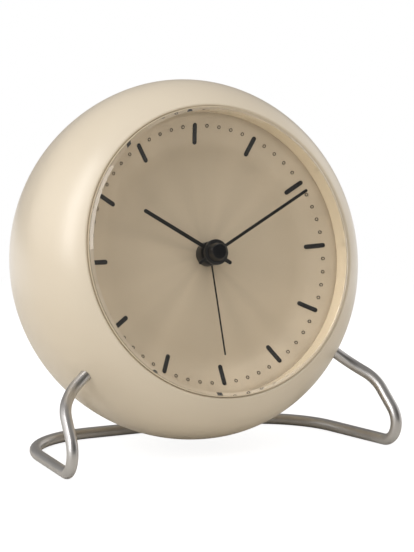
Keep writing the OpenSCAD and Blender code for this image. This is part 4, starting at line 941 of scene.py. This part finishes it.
def buildBack():
    b = back
    under, over = b["flat"] - b["past"], b["inside"] + b["past"]  # cuts run past both faces of the wall
    shape, tubes, ring, holes, notch, bay, pins = (bmesh.new() for _ in range(7))
    lathe(shape, backSection(), closed=False)
    for x in (-b["screwX"], b["screwX"]):
        for y in (-b["screwY"], b["screwY"]):
            post(tubes, x, y, b["inside"] - b["tubeSunk"], b["tubeTop"], b["tube"])
            post(holes, x, y, b["wellFloor"], under, b["well"])
            post(holes, x, y, b["wellFloor"] - b["past"] / 2, b["tubeTop"] + b["past"], b["shank"], 32)
    for x in (-b["knobX"], b["knobX"]):
        post(holes, x, b["knobY"], under, over, b["arborHole"])
    for x, y in [(0, b["soundY"])] + around([b["soundPitch"]] * 6, (0, b["soundY"])):
        post(holes, x, y, under, over, b["soundHole"], 32)
    boxShape(holes, (-b["slotX"], b["slotX"]), (b["slotY"] - b["slotHalf"], b["slotY"] + b["slotHalf"]),
             (under, over))
    foot = b["inside"] - b["ringSunk"]
    lathe(ring, [(b["ringIn"], foot), (b["ringOut"], foot), (b["ringOut"], b["ringTop"]),
                 (b["ringIn"], b["ringTop"])], sides=96, at=(0, b["soundY"]))
    boxShape(bay, (-b["bayX"], b["bayX"]), (b["bayLow"], b["bayHigh"]), (under, over))
    post(notch, 0, b["bayHigh"], under, b["notchFloor"], b["notch"], 64)
    pinEnd = b["bayX"] + b["pin"]
    tube(pins, (-pinEnd, b["hingeY"], b["hingeW"]), (pinEnd, b["hingeY"], b["hingeW"]), b["pinHole"], 32)
    mesh = meshFrom("caseBack", shape)
    for added in (tubes, ring):
        mesh = withBoolean(mesh, added, "UNION")
    for cut in (holes, notch, bay, pins):
        mesh = withBoolean(mesh, cut)
    finishedPiece("caseBack", mesh, "case_plastic", "case", "rear_shell")


buildBack()
print("back is turned")

knob = dict(radius=6.5, top=-50.3, topEdge=0.25, end=-56.5, grooves=24, steps=8, groove=0.42, edge=0.6,
            dish=[(4.29, 0.0), (3.77, 0.3), (1.95, 0.5)], bore=1.5, boreDeep=4.5)


def knobOutline(inset, at):
    # A round outline with scalloped grooves, the grooves fading where the edge is rounded
    k = knob
    deep = k["groove"] * max(0.0, 1 - inset / k["edge"])
    dips = [max(0.0, -cos(2 * pi * j / k["steps"])) for j in range(k["grooves"] * k["steps"])]
    return around([k["radius"] - inset - deep * dip for dip in dips], at)


def buildKnob(name, body, node, side):
    k = knob
    at = (side * back["knobX"], back["knobY"])
    layers = [(k["topEdge"], k["top"]), (0.0, k["top"] - k["topEdge"])]
    layers += [(k["edge"] - x, k["end"] + k["edge"] - y) for x, y in arc((0, 0), k["edge"], 0, 90, 4)]
    shape = bmesh.new()
    rings = [ringOf(shape, knobOutline(inset, at), w) for inset, w in layers]
    count = len(rings[0])
    hole = [ringOf(shape, around([k["bore"]] * count, at), w) for w in (k["top"] - k["boreDeep"], k["top"])]
    rings += [ringOf(shape, around([radius] * count, at), k["end"] + deep) for radius, deep in k["dish"]]
    rings = hole + rings
    for low, high in zip(rings, rings[1:]):
        band(shape, low, high)
    shape.faces.new(rings[0])
    shape.faces.new(rings[-1])
    finishedPiece(name, shape, "control_plastic", body, node)


buildKnob("timeKnob", "time_setter", "time_knob", 1)
buildKnob("alarmKnob", "alarm_setter", "alarm_knob", -1)

slider = dict(x=1.7, y=1.4, footX=2.7, low=-51.5, high=-44.5, foot=-47.3, edge=0.25, ribs=3, ribPitch=0.9,
              rib=0.22, ribReach=3)


def buildSlider():
    s, y = slider, back["slotY"]
    shape, ribs = bmesh.new(), bmesh.new()
    boxShape(shape, (-s["x"], s["x"]), (y - s["y"], y + s["y"]), (s["low"], s["foot"]))
    boxShape(shape, (-s["footX"], s["footX"]), (y - s["y"], y + s["y"]), (s["foot"], s["high"]))
    outer = [e for e in shape.edges if all(v.co.z < s["low"] + 0.01 for v in e.verts)]
    bmesh.ops.bevel(shape, geom=outer, offset=s["edge"], segments=3, affect="EDGES")
    for i in range(s["ribs"]):
        x = (i - (s["ribs"] - 1) / 2) * s["ribPitch"]
        tube(ribs, (x, y - s["ribReach"], s["low"]), (x, y + s["ribReach"], s["low"]), s["rib"], 16)
    mesh = withBoolean(meshFrom("alarmSlider", shape), ribs)
    finishedPiece("alarmSlider", mesh, "slider_plastic", "alarm_slider", "alarm_slider")


buildSlider()

door = dict(x=25.9, low=-23.3, high=5.0, outer=-50.0, inner=-47.8, pin=0.72, pinOut=1.0, pinSunk=1.0,
            edge=0.3, corner=1.0, rimLow=-21.8, grips=4, gripPitch=1.5, grip=0.42, gripX=5.5, gripAt=2.2,
            gripOut=0.06)


def buildDoor():
    d = door
    shape, pins, grips = bmesh.new(), bmesh.new(), bmesh.new()
    half = (d["inner"] - d["outer"]) / 2  # the lower edge is the hinge barrel
    outline = [(d["high"], d["inner"]), (d["high"], d["outer"]), (d["rimLow"], d["outer"])]
    outline += arc((d["low"], d["outer"] + half), half, 270, 90, 14)
    ends = [[shape.verts.new((x, y, w)) for y, w in outline] for x in (-d["x"], d["x"])]
    band(shape, *ends)
    for end in ends:
        shape.faces.new(end)
    corners = [e for e in shape.edges if all(v.co.y > d["high"] - 0.01 for v in e.verts)
               and abs(e.verts[0].co.x - e.verts[1].co.x) < 0.01]
    bmesh.ops.bevel(shape, geom=corners, offset=d["corner"], segments=5, affect="EDGES")
    rim = [e for e in shape.edges if any(v.co.y > d["rimLow"] + 0.01 for v in e.verts)
           and all(v.co.z < d["outer"] + 0.01 and v.co.y > d["rimLow"] - 0.01 for v in e.verts)]
    bmesh.ops.bevel(shape, geom=rim, offset=d["edge"], segments=4, affect="EDGES")
    for side in (-1, 1):
        tube(pins, (side * (d["x"] - d["pinSunk"]), d["low"], d["outer"] + half),
             (side * (back["bayX"] + d["pinOut"]), d["low"], d["outer"] + half), d["pin"], 32)
    for i in range(d["grips"]):
        at = (0, d["gripAt"] - i * d["gripPitch"], d["outer"] - d["gripOut"])
        size = Matrix.Diagonal((d["gripX"], d["grip"], d["grip"], 1))
        bmesh.ops.create_uvsphere(grips, u_segments=24, v_segments=12, radius=1.0,
                                  matrix=Matrix.Translation(at) @ size)
    mesh = withBoolean(withBoolean(meshFrom("batteryDoor", shape), grips), pins, "UNION")
    finishedPiece("batteryDoor", mesh, "control_plastic", "battery_door", "battery_door")


buildDoor()
print("knobs, slider and door are on")

screws = dict(
    rearScrews=dict(node="rear_screws", shank=1.1, head=2.3, high=1.7, seat=-46.0, tip=-23.5, cross=0.42,
                    seed=4, spots=[(x, y) for x in (-33.5, 33.5) for y in (-12, 12)]),
    clampScrews=dict(node="clamp_screws", shank=0.8, head=1.9, high=1.2, seat=-5.4, tip=-2.0, cross=0.32,
                     seed=9, spots=[(0, 47.76), (47.76, 0), (0, -47.76), (-47.76, 0)]),
)
screwHead = dict(shares=[(0, 1), (0.55, 1), (0.86, 0.82), (1, 0.45), (1, 0)], crossReach=0.58,
                 crossFrom=1.5, crossDeep=0.45, edge=0.05, mostTurn=1.57)


def buildScrews():
    # One screw with a cross recess, set on its spots with the cross at any angle
    h = screwHead
    tree = spotsTree()
    for name, one in screws.items():
        head, high, shank = one["head"], one["high"], one["shank"]
        end = one["tip"] - one["seat"]
        shape, recess = bmesh.new(), bmesh.new()
        lathe(shape, [(head * x, -high * y) for x, y in h["shares"]]
              + [(shank, 0), (shank, end - shank), (0, end)], sides=40, closed=False)
        far, near = head * h["crossReach"], one["cross"] / 2
        arm = [(far, -near), (far, near), (near, near)]
        quarters = ((1, 0), (0, 1), (-1, 0), (0, -1))
        cross = [(x * c - y * s, x * s + y * c) for c, s in quarters for x, y in arm]
        slab(recess, lambda inset: cross, -high * h["crossFrom"], -high * h["crossDeep"], h["edge"])
        flat = Matrix.Identity(4)
        single = withBoolean(meshFrom(name + "One", shape, flat), recess, matrix=flat)
        mesh = grown(name, tree, single, [(x, y, one["seat"]) for x, y in one["spots"]], Turn=h["mostTurn"],
                     Seed=one["seed"], Material=finishes["screw_steel"])
        finishedPiece(name, mesh, "screw_steel", "case", one["node"])


buildScrews()
print("screws are set")
